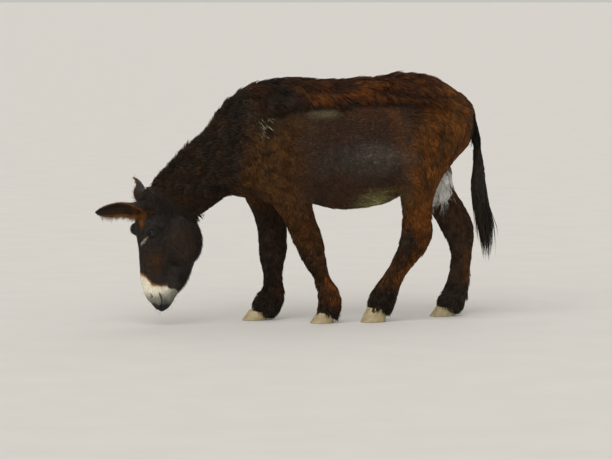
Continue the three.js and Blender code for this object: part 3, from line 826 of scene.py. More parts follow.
def new_mesh(name, points, corners, sizes):
    """A smooth mesh from arrays: points in mm, the corners of all faces in a row, and each face's size."""
    mesh = bpy.data.meshes.new(name)
    mesh.vertices.add(len(points))
    mesh.vertices.foreach_set("co", in_metres(points).astype(np.float32).ravel())
    mesh.loops.add(len(corners))
    mesh.loops.foreach_set("vertex_index", np.asarray(corners, np.int32).ravel())
    mesh.polygons.add(len(sizes))
    starts = np.concatenate([[0], np.cumsum(sizes)[:-1]]).astype(np.int32)
    mesh.polygons.foreach_set("loop_start", starts)
    mesh.update(calc_edges=True)
    mesh.polygons.foreach_set("use_smooth", np.ones(len(sizes), bool))
    return mesh


def points_of(mesh):
    """A mesh's points, back in mm and in the tables' frame."""
    co = np.zeros(len(mesh.vertices) * 3, np.float32)
    mesh.vertices.foreach_get("co", co)
    return co.reshape(-1, 3).astype(float) / MM - SHIFT


def divide(mesh, field, wanted, cell):
    """Splits each face whose points are all wanted in four, and settles the new points on the field."""
    chosen = wanted(points_of(mesh))
    bm = bmesh.new()
    bm.from_mesh(mesh)
    bm.verts.ensure_lookup_table()
    edges = [e for e in bm.edges if chosen[e.verts[0].index] and chosen[e.verts[1].index]]
    bmesh.ops.subdivide_edges(bm, edges=edges, cuts=1, use_grid_fill=True)
    bmesh.ops.triangulate(bm, faces=[f for f in bm.faces if len(f.verts) > 4])
    bm.to_mesh(mesh)
    bm.free()
    p = points_of(mesh)
    moved = np.flatnonzero(wanted(p))
    p[moved] = settle(p[moved], field, cell)
    mesh.vertices.foreach_set("co", in_metres(p).astype(np.float32).ravel())
    mesh.update()


# ---- the ears

EAR_RINGS = 44
EAR_ARC_POINTS = 19
EAR_SUNK = -0.2  # the rings start this share of its length inside the head
EAR_AIM = 560.0  # height that the sunk root bends to


def ear_axes(name, t=1.0):
    """An ear's root, and the directions that it points, opens and lies across, at a share of its length."""
    root, points, opens, opens_low, bow = EARS[name]
    direction = unit(np.array(points, float) @ TURN.T)
    opening = mix(np.array(opens_low, float), np.array(opens, float), ease(0.05, 0.65, t)) @ TURN.T
    opening = unit(opening - direction * (opening @ direction))
    return out_of_head(root), direction, opening, np.cross(direction, opening), bow


def ear_half_width(t):
    """An ear's half width at a share of its length: narrow root, broad middle, blunt tip."""
    t = min(max(t, 0), 1)
    return EAR_HALF_WIDTH * max((0.56 + 0.72 * t**0.7) * (1 - t**3.2) ** 0.62, 0.12)


def ear_ring(name, t):
    """One section of an ear: its back from edge to edge, then its inside, and each point's place across."""
    root, direction, opening, side, bow = ear_axes(name, t)
    curl = math.radians(mix(EAR_CURL[0], EAR_CURL[1], ease(0.06, 0.6, t)))
    radius = ear_half_width(t) / math.sin(min(curl, math.pi / 2))
    centre = root + direction * EAR_LENGTH * max(t, 0)
    centre = centre + opening * (radius * 0.6 * ease(0, 0.4, t) - bow * math.sin(math.pi * max(t, 0)))
    if t < 0:  # the root bends into the head
        centre = centre + unit(HEAD_AT + [0, 0, EAR_AIM] - root) * (-t * EAR_LENGTH)
        radius = radius * (1 + 1.6 * t)
    outer = radius - EAR_COAT
    inner = outer - min(EAR_SKIN * (1 - 0.45 * max(t, 0)), outer * 0.6)
    across = np.linspace(1, -1, EAR_ARC_POINTS)
    a = curl * across * 0.97
    back = centre - opening * (outer * np.cos(a))[:, None] + side * (outer * np.sin(a))[:, None]
    ridges = 1.6 * np.cos(across * 9.0) * math.sin(math.pi * min(max(t, 0), 1))
    b = -a * 0.96
    hollow = inner + ridges[::-1] * (1 - np.abs(across))
    front = centre - opening * (hollow * np.cos(b))[:, None] + side * (hollow * np.sin(b))[:, None]
    return np.vstack([back, front]), np.concatenate([across, across[::-1]])


def ear_mesh(name):
    """Points, faces and places of an ear's own skin.

    A place is the share of its length, how far across it, and 1 on its back or 2 inside.
    """
    shares = EAR_SUNK + (1 - EAR_SUNK) * np.linspace(0, 1, EAR_RINGS) ** 0.9
    points, places = [], []
    for t in shares:
        ring, across = ear_ring(name, t)
        points.append(ring)
        which = np.repeat([1.0, 2.0], EAR_ARC_POINTS)
        places.append(np.stack([np.full(len(ring), t), across, which], axis=1))
    around = len(points[0])
    points = np.vstack(points)
    return points, tube_faces(points, around), np.vstack(places)


def tube_faces(points, around):
    """Faces of a closed tube, given ring after ring, and of its two ends, all facing out."""
    last = len(points) - around
    faces = []
    for first in range(0, last, around):
        for i in range(around):
            a, b = first + i, first + (i + 1) % around
            faces.append([a, b, b + around, a + around])
    faces += [list(range(around))[::-1], list(range(last, last + around))]
    volume = 0.0
    for face in faces:
        p = points[face]
        for k in range(1, len(p) - 1):
            volume += np.dot(p[0], np.cross(p[k], p[k + 1]))
    return [face[::-1] for face in faces] if volume < 0 else faces


# ---- the hide

HEAD_FINE = 4.3  # size of the head's faces, mm
DETAIL_FINE = 2.2
LID_FINE = 1.2
DETAIL_REACH = 44.0  # from the middle of an eye or nostril
LID_REACH = 36.0


def on_head(points):
    """Which points lie on the head."""
    return beyond(THROAT, points) < 12


def by_details(reach):
    """A test for points within reach of an eye, a nostril or the mouth."""

    def near(points):
        p = into_head(points)
        found = (p[:, 2] < MOUTH_TOP + 12) & (p[:, 2] > 60)
        for side in (NEAR, FAR):
            found |= distance(p, on_side(EYE_AT, side)) < reach
            found |= distance(p, on_side(NOSTRIL_AT, side)) < reach
        return found & (beyond(THROAT, points) < 0)

    return near


def by_lids(points):
    """Which points lie on the lids."""
    p = into_head(points)
    return np.any([distance(p, on_side(EYE_AT, side)) < LID_REACH for side in (NEAR, FAR)], axis=0)


def numbers_of(items, name, width=1, kind=np.float32):
    """One property of all of a mesh's items."""
    found = np.zeros(len(items) * width, kind)
    items.foreach_get(name, found)
    return found.reshape(-1, width) if width > 1 else found


def build_hide(settings):
    """The hide's mesh, ears and all, and the sampled field that the tufts lie over."""
    cell = settings.cell / MM * 1.0
    grid = SampledField(coat_field, FIELD_LOW, FIELD_HIGH, cell)
    points, quads = surface_of(grid)
    points = settle(points, coat_field, cell)
    mesh = new_mesh("body", points, quads.ravel(), np.full(len(quads), 4))
    detailed = partial(coat_field, settings=settings)
    divide(mesh, detailed, on_head, HEAD_FINE)
    divide(mesh, detailed, by_details(DETAIL_REACH), DETAIL_FINE)
    divide(mesh, detailed, by_lids, LID_FINE)
    points = points_of(mesh)
    corners = numbers_of(mesh.loops, "vertex_index", kind=np.int32)
    sizes = numbers_of(mesh.polygons, "loop_total", kind=np.int32)
    bpy.data.meshes.remove(mesh)
    places = np.zeros((len(points), 3))
    for name in EARS:
        ear, faces, where = ear_mesh(name)
        corners = np.concatenate([corners, np.concatenate(faces) + len(points)])
        points = np.vstack([points, ear])
        places = np.vstack([places, where])
        sizes = np.concatenate([sizes, [len(face) for face in faces]])
    mesh = new_mesh("hide", points, corners, sizes)
    attribute = mesh.attributes.new("ear_place", "FLOAT_VECTOR", "POINT")
    attribute.data.foreach_set("vector", places.astype(np.float32).ravel())
    return mesh, grid


def unwrap(piece):
    """Lays the hide out flat in the map that the coat's tufts take their places from."""
    piece.data.uv_layers.new(name="OFBake")
    bpy.context.view_layer.objects.active = piece
    piece.select_set(True)
    bpy.ops.object.mode_set(mode="EDIT")
    bpy.ops.mesh.select_all(action="SELECT")
    bpy.ops.uv.smart_project(angle_limit=math.radians(66), island_margin=0.004, scale_to_bounds=True)
    bpy.ops.object.mode_set(mode="OBJECT")


class HideFaces:
    """The hide's triangles, from which roots are drawn."""

    def __init__(self, mesh):
        mesh.calc_loop_triangles()
        triangles = mesh.loop_triangles
        self.corners = numbers_of(triangles, "vertices", 3, np.int32)
        self.loops = numbers_of(triangles, "loops", 3, np.int32)
        self.points = points_of(mesh)
        self.normals = numbers_of(mesh.vertices, "normal", 3).astype(float)
        self.uv = numbers_of(mesh.uv_layers["OFBake"].uv, "vector", 2)
        self.places = numbers_of(mesh.attributes["ear_place"].data, "vector", 3)
        self.areas = numbers_of(triangles, "area") / MM**2
        self.middles = self.points[self.corners].mean(axis=1)
        self.facing = unit(self.normals[self.corners].sum(axis=1))
        self.ears = self.places[self.corners].max(axis=1)

    def scatter(self, spacing, weight, rng):
        """Roots about spacing apart, denser where weight is more: points, normals, map and ear places."""
        mass = np.cumsum(self.areas * np.clip(weight, 0, None))
        count = int(mass[-1] / spacing**2)
        draw = (np.arange(count) + rng.random(count)) / count * mass[-1]
        face = np.minimum(np.searchsorted(mass, draw), len(mass) - 1)
        a, b = rng.random((2, count))
        over = a + b > 1
        a, b = np.where(over, 1 - a, a), np.where(over, 1 - b, b)
        share = np.stack([1 - a - b, a, b], axis=1)[:, :, None]
        corners = self.corners[face]
        points = (self.points[corners] * share).sum(axis=1)
        normals = unit((self.normals[corners] * share).sum(axis=1))
        seats = (self.uv[self.loops[face]] * share).sum(axis=1)
        places = (self.places[corners] * share).sum(axis=1)
        return points, normals, seats, places


# ---- markings, on the hide and the coat


def spot(u, v, middle, radii, soft=0.5):
    """1 inside an ellipse, 0 outside it, with a soft edge."""
    off = np.hypot((u - middle[0]) / radii[0], (v - middle[1]) / radii[1])
    return ease(1 + soft, 1 - soft, off)


class Paint:
    """The colour of a row of points, laid on in coats over a ground."""

    def __init__(self, tones, ground, count):
        self.tones = tones
        self.colour = np.tile(tones[ground], (count, 1))

    def lay(self, tone, weight, bright=1.0):
        """Lays a tone, by its name or as a colour, over what is there, by a weight for each point."""
        tone = self.tones[tone] * bright if isinstance(tone, str) else tone
        self.colour = self.colour + (tone - self.colour) * np.clip(weight, 0, 1)[:, None]

    def lay_patches(self, patches, u, v):
        for tone, bright, strength, middle, radii, soft in patches:
            self.lay(tone, strength * spot(u, v, middle, radii, soft), bright)

    def tint(self, by, weight):
        """Multiplies what is there, by a weight for each point."""
        self.colour = self.colour * mix(1.0, by, weight[:, None])


def paint_points(mesh, colours):
    """Keeps a colour for each point as the attribute that the coat's materials read."""
    values = np.ones((len(colours), 4), np.float32)
    values[:, :3] = colours
    mesh.attributes.new("coat", "FLOAT_COLOR", "POINT").data.foreach_set("color", values.ravel())


def leg_axis(kind, side, z):
    """Where the middle of a leg is along X at a height."""
    table = np.array(LEGS[kind, side], float)[::-1]
    return np.interp(z, table[:, 2], table[:, 0])


def forward_on_leg(points, kind):
    """How far points lie in front of the middle of their leg, in half depths."""
    _, y, z = points.T
    off = np.zeros(len(points))
    for side in (NEAR, FAR):
        table = np.array(LEGS[kind, side], float)[::-1]
        deep = np.interp(z, table[:, 2], table[:, 3])
        here = y * side > 0
        off[here] = ((leg_axis(kind, side, z) - points[:, 0]) / deep)[here]
    return off


# Upper edge of the white of the muzzle, in the head frame: [x, z]
WHITE_EDGE = [
    [-175, 278],
    [-151, 242],
    [-125, 208],
    [-84, 198],
    [-40, 203],
    [-30, 187],
    [-14, 182],
    [30, 166],
]
FACE_TINT = np.array([1.0, 1.04, 1.2])  # the face's black is cooler
# Lighter patches of the face: tone, its brightness, how strong, [x, z], half sizes and softness
FACE_PATCHES = [
    ("bark", 0.8, 0.75, (-112, 325), (52, 62), 0.7),
    ("brown", 0.8, 0.5, (-108, 322), (26, 34), 0.8),
    ("bark", 1.0, 0.4, (30, 420), (90, 90), 0.6),
]


def head_markings(points, tones):
    """The dark face, the white muzzle with its tan rim, and the bare skin of lips, nostrils and lids, with
    painted shade in the nostrils and in the line between the lips.
    """
    p = into_head(points) + noise(points, 22, 3)[:, None] * 4
    x, y, z = p.T
    paint = Paint(tones, "black", len(p))
    paint.colour = paint.colour * FACE_TINT
    paint.lay_patches(FACE_PATCHES, x, z)
    paint.lay("slate", 0.15 * ease(330, 280, z) * ease(-90, -20, x))
    strands = np.clip(0.6 + 0.6 * noise(points, (9, 9, 40), 17), 0, 1)
    below_ears = strands * spot(np.abs(y), z, (34, 548), (17, 58), 0.4) * ease(-95, -130, x)
    paint.lay("tan", below_ears, 0.9)
    border = np.interp(x, *np.array(WHITE_EDGE, float).T)
    rim = bell(z, border + 3, 8) * mix(0.25, 1.0, ease(-80, -118, x)) * ease(-30, -50, x)
    paint.lay("tan", rim, 1.5)
    white = ease(border + 5, border - 9, z)
    paint.lay("white", white)
    chin = spot(x, z, (8, 146), (46, 54), 0.6)
    level = z - 0.12 * (x + 80)  # the greys lie at a slant
    paint.lay("grey", white * 0.85 * chin, [0.62, 0.62, 0.46])
    paint.lay("grey", 0.9 * white * ease(188, 134, level), 0.8)
    paint.lay("grey", 0.9 * white * ease(140, 100, level), 0.35)
    off = from_mouth(p)
    mouth = bell(off, 0, 3.6) * ease(MOUTH_TOP + 4, MOUTH_TOP - 8, z)
    beside = bell(off, 15, 13) * ease(152, 124, z)
    bottom = ease(116, 96, z - 0.1 * np.abs(x + 50))
    paint.lay("lip", 0.6 * beside, 1.8)
    paint.lay("lip", bottom)
    # the line between the lips: dark lip skin made darker, partly painted shade in the groove
    paint.lay("lip", mouth, 0.3)
    for side in (NEAR, FAR):
        hole = nostril_hole(p, side, 0.0, 30.0)
        paint.lay("grey", 0.4 * ease(9, 1, hole))
        # inside each nostril: its dark skin with painted shade
        paint.lay("lip", ease(1, -2, hole), 0.5)
        out, corner, upper = eye_place(p, side)
        off = np.hypot(corner / 30, upper / 21)
        paint.lay("lip", ease(1.15, 0.75, off) * (out > -5), 0.7)
        start, end = on_side(STREAK, side)
        along = np.clip((p - start) @ (end - start) / np.sum((end - start) ** 2), 0, 1)
        away = distance(p, start + along[:, None] * (end - start))
        streak = ease(1.3, 0.7, away / mix(*STREAK_WIDTHS, along))
        shade = mix(tones["straw"] * [1.1, 0.9, 0.4], tones["white"] * 0.62, ease(0.1, 0.6, along)[:, None])
        paint.lay(shade, 0.95 * streak)
    return paint.colour


def ear_markings(places, tones):
    """Dark backs, tan rims and dark insides."""
    t, across, which = places.T
    paint = Paint(tones, "black", len(t))
    edge = np.abs(across)
    paint.lay("tan", np.where(which < 1.5, 0.6 * ease(0.88, 0.99, edge), 0))
    inside = which > 1.5
    streaks = 0.75 + 0.25 * np.sin(t * 150 + 4 * np.sin(t * 37))
    paint.lay("bark", np.where(inside, 0.8, 0), 0.7)
    paint.lay("black", np.where(inside, 0.6 * ease(0.6, 0.2, edge), 0), 0.7)
    paint.lay("tan", np.where(inside, streaks * ease(0.76, 0.94, edge), 0))
    low = inside * ease(0.42, 0.12, t)
    paint.lay("tan", 0.6 * low, 0.75)
    paint.lay("black", 0.85 * ease(0.8, 0.95, t))
    return paint.colour


LUMINANCE = np.array([0.30, 0.59, 0.11])  # how bright red, green and blue look
# Dark nicks in the coat of the shoulder and flank: [x, z] and half sizes
NICKS = [
    ((-348, 936), (18, 12)),
    ((-240, 878), (38, 11)),
    ((-302, 848), (16, 12)),
    ((-240, 786), (26, 15)),
    ((150, 905), (42, 6)),
]
# Patches of the sleek flank, greyer hair with a painted sheen on it: tone, its brightness, how strong, [x,
# z], half sizes and softness
FLANK_SHEEN_PATCHES = [
    ("slate", 1.0, 0.8, (262, 826), (215, 76), 0.9),
    # the brighter core is a painted highlight
    ("slate", 1.45, 0.8, (350, 850), (115, 50), 0.9),
]
BARREL_TINT = np.array([0.78, 0.70, 0.58])  # the thin hair of the barrel shows less light
CROUP_TINT = np.array([0.72, 0.62, 0.44])
BELLY_TINT = np.array([1.4, 1.45, 1.05])


def markings(points, normals, places, tones):
    """The colour of the coat at each point, in linear light, with a painted sheen on the flank and a
    painted shadow under the back's long hair.
    """
    x, y, z = points.T
    zone = zones(points)
    near = ease(30, -30, y)  # the two sides differ a little
    drift = noise(points, 75, 1)
    fine = noise(points, 26, 15)
    streaked = np.clip(0.8 + 0.7 * noise(points, (60, 30, 9), 18), 0, 1)
    off = 40 * drift + 16 * fine
    u, v = x + off, z + 0.6 * off
    paint = Paint(tones, "bark", len(x))
    paint.lay("brown", 0.5 * ease(760, 640, v))
    paint.lay("brown", 0.35 * spot(u, v, (150, 985), (260, 60), 0.6))
    barrel = ease(-60, 20, x) * ease(460, 360, x)
    paint.tint(BARREL_TINT, barrel)
    # painted sheen over the flank's greyer hair, with a painted highlight at its core
    paint.lay_patches(FLANK_SHEEN_PATCHES, u, v)
    hind_belly = spot(x, z + 12 * fine, (368, 600), (115, 52), 1.0)
    paint.lay("straw", streaked * hind_belly, BELLY_TINT)
    front = ease(30, -150, u)
    rear = ease(430, 590, u - 0.25 * (z - 900)) * (1 - zone["tail"])
    paint.lay("brown", front * (0.75 + 0.25 * fine))
    paint.lay("black", 0.8 * front * spot(u, v, (-260, 1060), (130, 90), 0.7))
    paint.lay("brown", rear * (0.9 + 0.2 * drift))
    locks = noise(points, (16, 16, 70), 4)
    tips = noise(points, (50, 30, 18), 14)
    warm = np.clip(0.3 + 0.75 * mix(locks, tips, ease(950, 1080, z)), 0, 0.9)
    paint.lay("rust", rear * warm)
    paint.lay("rust", 0.3 * spot(x + 0.35 * (z - 870), v, (425, 880), (34, 90), 1.0))
    paint.lay("bark", rear * 0.55 * ease(740, 830, z) * np.clip(-locks, 0, 1))
    paint.tint(CROUP_TINT, spot(u, z, (540, 1090), (95, 60), 0.9))
    paint.lay("black", 0.75 * spot(u, z, (450, 1116), (92, 30), 0.8))
    paint.lay("rust", 0.4 * spot(x + 0.55 * (z - 1075), z, (375, 1075), (40, 80), 0.9))
    paint.lay("straw", 0.5 * spot(x, z + 6 * fine, (42, 1052), (62, 22), 0.8))
    paint.lay("rust", 0.3 * spot(x, z, (250, 1050), (60, 36), 0.8) * (1 + tips))
    for at, radii in NICKS:
        paint.lay("black", 0.9 * spot(x + 8 * fine, z, at, radii, 0.5), 0.6)
    edge = curtain_edge(x)
    # painted shadow: a dark band just under the lower edge of the back's long hair, where it overhangs
    line = bell(z, edge - 24, 20) * zone["body"] * ease(-330, -230, x) * ease(520, 380, x)
    paint.lay("black", 0.9 * line, 0.5)
    threads = np.clip(0.2 + 0.8 * noise(points, (70, 50, 15), 5), 0, 1)
    paint.lay("red_back", zone["back"])
    paint.lay("rust", zone["back"] * 0.5 * threads)
    paint.lay("black", zone["back"] * 0.9 * ease(30, -200, x + off), 0.8)
    partings = np.clip(0.35 - threads + 0.4 * fine, 0, 1)
    paint.lay("black", zone["back"] * 0.7 * partings, 0.8)
    chest = ease(-372, -398, x + 14 * drift) * zone["body"]
    paint.lay("black", np.maximum(zone["neck"], chest))
    folds = np.clip(0.45 + 0.5 * drift + 0.5 * fine, 0, 1)
    folds = folds * ease(40, -120, beyond(SHOULDER, points) + 0.4 * (z - 900))
    paint.lay("bark", 0.75 * zone["neck"] * folds, 0.9)
    flecks = ease(0.42, 0.62, noise(points, (9, 9, 15), 16))
    knot = spot(x, z, (-250, 1000), (34, 56), 0.4) * near
    paint.lay("black", 0.7 * knot, 0.7)
    where = knot + 0.45 * spot(x, z, (84, 190), (36, 62), 0.5) * near
    paint.lay("straw", flecks * where, 1.5)
    for kind in ("fore", "hind"):
        ahead = forward_on_leg(points, kind)
        paint.lay(leg_markings(points, ahead, kind, near, tones), zone[kind])
    inner = ease(0.05, 0.45, -normals[:, 1] * np.sign(y)) * ease(30, 60, np.abs(y))
    ahead = forward_on_leg(points, "hind") + 0.2 * locks + mix(0.1, 1.0, ease(570, 740, z))
    inner = inner * ease(-0.15, 0.15, ahead)
    groin = ease(330, 430, x) * ease(550, 620, z + 40 * locks) * ease(800, 740, z)
    groin = groin * (1 - zone["tail"]) * zone["body"]
    paint.lay("inner_white", 0.95 * groin * inner)
    paint.lay("tail", zone["tail"])
    paint.lay(head_markings(points, tones), zone["head"])
    is_ear = places[:, 2] > 0.5
    colour = paint.colour
    colour[is_ear] = ear_markings(places[is_ear], tones)
    along = noise(points, (55, 40, 12), 7) * (1 - zone["haunch"]) * (1 - zone["back"])
    down = noise(points, (11, 11, 60), 8)
    bright = LUMINANCE @ colour.T
    swing = 0.26 * ease(0.35, 0.08, bright)  # pale hair is streaked less
    return colour * (1 + swing * np.clip(along * 0.7 + down, -1, 1))[:, None]


KNEE_HEIGHT = 330
HOCK_HEIGHT = 440


def leg_markings(points, ahead, kind, near, tones):
    """A leg's colours: brown above, dark joints and pasterns, redder behind the cannon."""
    z = points[:, 2] + 14 * noise(points, 34, 9)
    joint = KNEE_HEIGHT if kind == "fore" else HOCK_HEIGHT
    paint = Paint(tones, "bark", len(z))
    paint.lay("brown", 0.55 * near * ease(joint + 10, joint + 120, z))
    streaks = np.clip(noise(points, (18, 18, 60), 10), 0, 1)
    paint.lay("rust", streaks * (0.35 + 0.5 * near) * (0.75 if kind == "hind" else 0.45))
    if kind == "hind":
        paint.lay("rust", 0.7 * near * spot(ahead, z, (-0.1, 545), (0.6, 75), 0.7), 1.15)
    knee = bell(z, joint - 20, 62) * ease(-0.2, 0.5, ahead)
    paint.lay("black", 0.85 * knee)
    cannon = ease(joint - 40, joint - 90, z) * ease(110, 160, z)
    paint.lay("rust", 0.45 * cannon * ease(0.1, -0.5, ahead))
    paint.lay("bark", 0.5 * cannon * ease(0.0, 0.6, ahead))
    pastern = ease(140, 95, z) if kind == "fore" else ease(235, 165, z)
    paint.lay("black", 0.92 * pastern, 0.8)
    if kind == "hind":
        paint.lay("slate", 0.4 * (1 - near), 0.7)
    else:
        paint.lay("black", 0.75 * (1 - near), 0.8)
    return paint.colour


# ---- the lie of the coat


@dataclass
class Hair:
    """One kind of hair. Lengths are in mm."""

    spacing: float  # between roots
    length: float
    width: float  # of a tuft at its widest
    joints: int  # bends along a tuft
    rise: float = 1.0  # its tip's height, as a share of the coat's depth
    cling: float = 0.8  # how closely it follows the hide under it
    hang: float = 0.0  # how much it turns down along its length
    herd: float = 26.0  # between the locks that tufts draw together into
    pull: float = 0.5  # how far they do
    wave: float = 0.0  # sideways swing of long hair
    stray: float = 0.22  # random turn of a tuft, radians
    vary: float = 0.25  # random share of its length
    swing: float = 0.34  # how far locks differ in shade


HAIRS = dict(
    head=Hair(3.5, 16, 3.0, 1, rise=0.9, cling=0.0, herd=12, pull=0.25, stray=0.2, swing=0.18),
    neck=Hair(5.4, 44, 5.6, 2, herd=30, pull=0.55, stray=0.3),
    shoulder=Hair(5.9, 48, 6.0, 3, herd=34, pull=0.6, wave=2.0, stray=0.25),
    barrel=Hair(5.0, 34, 4.8, 2, rise=0.9, herd=22, pull=0.3, stray=0.14, swing=0.14),
    back=Hair(6.5, 92, 6.4, 4, cling=0.6, hang=0.12, herd=36, pull=0.65, wave=4.0),
    haunch=Hair(6.0, 62, 6.2, 3, herd=34, pull=0.65, wave=4.0, stray=0.25),
    leg=Hair(5.3, 42, 5.4, 2, cling=0.6, hang=0.1, pull=0.6, stray=0.34, vary=0.35),
    tail=Hair(4.6, 80, 5.0, 3, cling=0.5, hang=0.25, herd=16, pull=0.4, stray=0.15),
    ear=Hair(3.4, 11, 2.4, 1, rise=2.0, cling=0.0, herd=12, pull=0.3, stray=0.3, swing=0.18),
    fringe=Hair(3.0, 27, 2.0, 2, rise=2.5, cling=0.0, hang=0.2, herd=12, pull=0.4, stray=0.3, vary=0.5),
    mane=Hair(4.4, 52, 4.6, 3, rise=1.2, cling=0.4, hang=0.3, pull=0.6, stray=0.3, vary=0.35),
)


# On the head: the hair's way down the front of the face and down the cheek
DOWN_FACE = (np.array([-0.05, 0.0, -1.0]), np.array([0.55, 0.0, -0.83]))
# Where it turns away from a place: the place, how far round it, how strongly and the most it turns
SWIRLS = ((EYE_AT, 34, 1.6, 0.9), (NOSTRIL_AT, 26, 0.6, 0.6))


def lie(points, normals, places, raggedness):
    """The way that the hair points, along the hide, at each point."""
    _, y, z = points.T
    zone = zones(points)
    outward = np.clip(y / 60, -1, 1)
    count = len(points)

    def way(dx, dy, dz):
        return np.stack([np.full(count, dx), dy * outward, np.full(count, dz)], axis=1)

    p = into_head(points)
    back_of_face = ease(0, 120, p[:, 0])[:, None]
    croup = ease(930, 1110, z)[:, None]
    flow = way(0.9, 0.0, -0.42)
    turns = [
        (way(0.5, 0.0, -0.86), zone["shoulder"]),
        (mix(way(0.32, 0.0, -0.95), way(0.92, 0.1, -0.36), croup), zone["haunch"]),
        (way(0.74, 0.42, -0.52), zone["back"]),
        (way(0.85, 0.2, -0.2), zone["neck"]),
        (way(0.12, 0.0, -1.0), zone["legs"]),
        (way(0.25, 0.0, -0.97), zone["tail"]),
        (mix(*DOWN_FACE, back_of_face) @ TURN.T, zone["head"]),
    ]
    for side in (NEAR, FAR):
        for at, reach, strength, most in SWIRLS:
            centre = on_side(at, side)
            close = bell(distance(p, centre), 0, reach)
            turns.append((unit(p - centre) @ TURN.T, np.clip(close * strength, 0, most)))
    turns.append((ear_flow(points, places), places[:, 2] > 0.5))
    for towards, where in turns:
        flow = mix(flow, towards, where[:, None])
    flow = flow - normals * np.sum(flow * normals, axis=1)[:, None]
    flow = unit(flow)
    calm = 1 - 0.65 * zone["body"] * (1 - zone["haunch"]) * (1 - zone["back"]) * (1 - zone["legs"])
    angle = raggedness * calm * (0.42 * noise(points, 105, 11) + 0.26 * noise(points, 38, 12))
    return turned(flow, normals, angle)


def turned(flow, normals, angle):
    """Directions turned about the normals."""
    c, s = np.cos(angle)[:, None], np.sin(angle)[:, None]
    return unit(flow * c + np.cross(normals, flow) * s)


def ear_flow(points, places):
    """On the ears the hair runs to the tip, and leans out to the rim."""
    t, across, _ = places.T
    flow = np.zeros((len(points), 3))
    for name in EARS:
        root, direction, opening, side, _ = ear_axes(name)
        here = np.linalg.norm(points - root - direction * EAR_LENGTH * t[:, None], axis=1) < 110
        rim = ease(0.6, 0.95, np.abs(across))[:, None]
        lean = np.sign(across)[:, None] * mix(0.25, 1.1, rim) * side + 0.35 * rim * opening
        flow = np.where(here[:, None], direction * mix(1.0, 0.55, rim) + lean, flow)
    return flow


def size_of_fur(points, places):
    """Length of the hair at each point, as a share of its kind's length."""
    p = into_head(points)
    zone = zones(points)
    x, _, z = p.T
    on_head = mix(1.0, 0.5, ease(300, 190, z)) * mix(1.0, 2.8, spot(x, z, (64, 214), (48, 50), 0.8))
    on_head = on_head * mix(1.0, 2.1, ease(40, 130, x)) * mix(1.0, 1.9, ease(520, 620, z))
    for side in (NEAR, FAR):
        on_head = on_head * mix(0.4, 1.0, ease(20, 48, distance(p, on_side(EYE_AT, side))))
        on_head = on_head * mix(0.45, 1.0, ease(14, 34, distance(p, on_side(NOSTRIL_AT, side))))
    share = mix(1.0, on_head, zone["head"])
    world_z = points[:, 2]
    fore, hind = forward_on_leg(points, "fore"), forward_on_leg(points, "hind")
    ahead = np.where(zone["fore"] > zone["hind"], fore, hind)
    feather = ease(190, 120, world_z) * ease(0.1, -0.6, ahead)
    share = share * mix(1.0, mix(0.8, 1.0, ease(60, 140, world_z)) + 0.7 * feather, zone["legs"])
    share = share * mix(1.0, 1.35, np.maximum(zone["belly"], chest_tuft(points)))
    share = share * mix(1.0, 0.75, zone["under_edge"])
    return np.where(places[:, 2] > 0.5, 1.0, share)


def chest_tuft(points):
    """The fuller hair between the forelegs."""
    return spot(points[:, 0], points[:, 2], (-350, 628), (52, 46), 0.6) * zones(points)["body"]


def crest(points, normals):
    """How far points lie along the top of the neck."""
    return ease(0.86, 0.97, normals @ unit(np.array([-0.62, 0.0, 0.78]))) * zones(points)["neck"]


# Where the coat stands up along the top line: its extra height, [x, z] and half sizes
CRESTS = [(10, (-250, 1180), (60, 90)), (14, (335, 1220), (95, 60))]


def tip_heights(points, normals, places):
    """How far the tips of the hair stand from the hide."""
    zone = zones(points)
    x, _, z = points.T
    heights = coat_depth(points) * mix(1.0, FLAT_SHARE, zone["under_edge"])
    heights = heights * mix(1.0, 2.1, zone["back"]) * mix(1.0, 1.25, zone["neck"])
    on_top = ease(0.45, 0.85, normals[:, 2])
    for height, middle, radii in CRESTS:
        heights = heights + on_top * height * spot(x, z, middle, radii)
    p = into_head(points)
    heights = heights * mix(1.0, 2.4, zone["head"] * spot(p[:, 0], p[:, 2], (66, 218), (48, 50), 0.9))
    heights = heights * mix(1.0, 1.8, zone["legs"] * ease(120, 80, z)) * mix(1.0, 1.8, chest_tuft(points))
    heights = heights + mix(2, 10, ease(-460, -580, x)) * crest(points, normals)
    return np.where(places[:, 2] > 0.5, EAR_COAT, heights)


ROOT_DEPTH = 1.5  # tufts start this far under the hide
LOWEST = 4.0  # tufts bend away from the floor at this height
FLAT_SHARE = 0.5  # under the back's edge the coat reaches this share of its depth


def grow(roots, normals, flow, hair, lengths, heights, grid):
    """Centre lines of tufts that leave the hide, follow it at their own height and hang a little."""
    step = (lengths / hair.joints)[:, None]
    steep = (heights / np.maximum(lengths, 1)).clip(0.05, 0.9)[:, None]
    heading = unit(flow + normals * steep * (1.6 if hair.joints > 1 else 1.0))
    line = [roots - normals * ROOT_DEPTH]
    for joint in range(1, hair.joints + 1):
        share = joint / hair.joints
        heading = unit(heading + DOWN * hair.hang * share)
        place = line[-1] + heading * step
        above, slope = grid.read(place)
        gap = heights * share**0.6 - above
        gap = np.where(gap > 0, gap, gap * hair.cling) if hair.cling > 0 else 0 * gap
        place = place + slope * gap[:, None]
        heading = unit(place - line[-1])
        line.append(place)
    return np.stack(line, axis=1)


def herds(roots, spacing, herd, rng):
    """For each root, the root that leads its lock."""
    count = max(1, int(len(roots) * min(1.0, (spacing / herd) ** 2)))
    leaders = np.sort(rng.choice(len(roots), count, replace=False))
    tree = KDTree(count)
    for i, leader in enumerate(leaders):
        tree.insert(roots[leader], i)
    tree.balance()
    return leaders[np.array([tree.find(p)[1] for p in roots])]


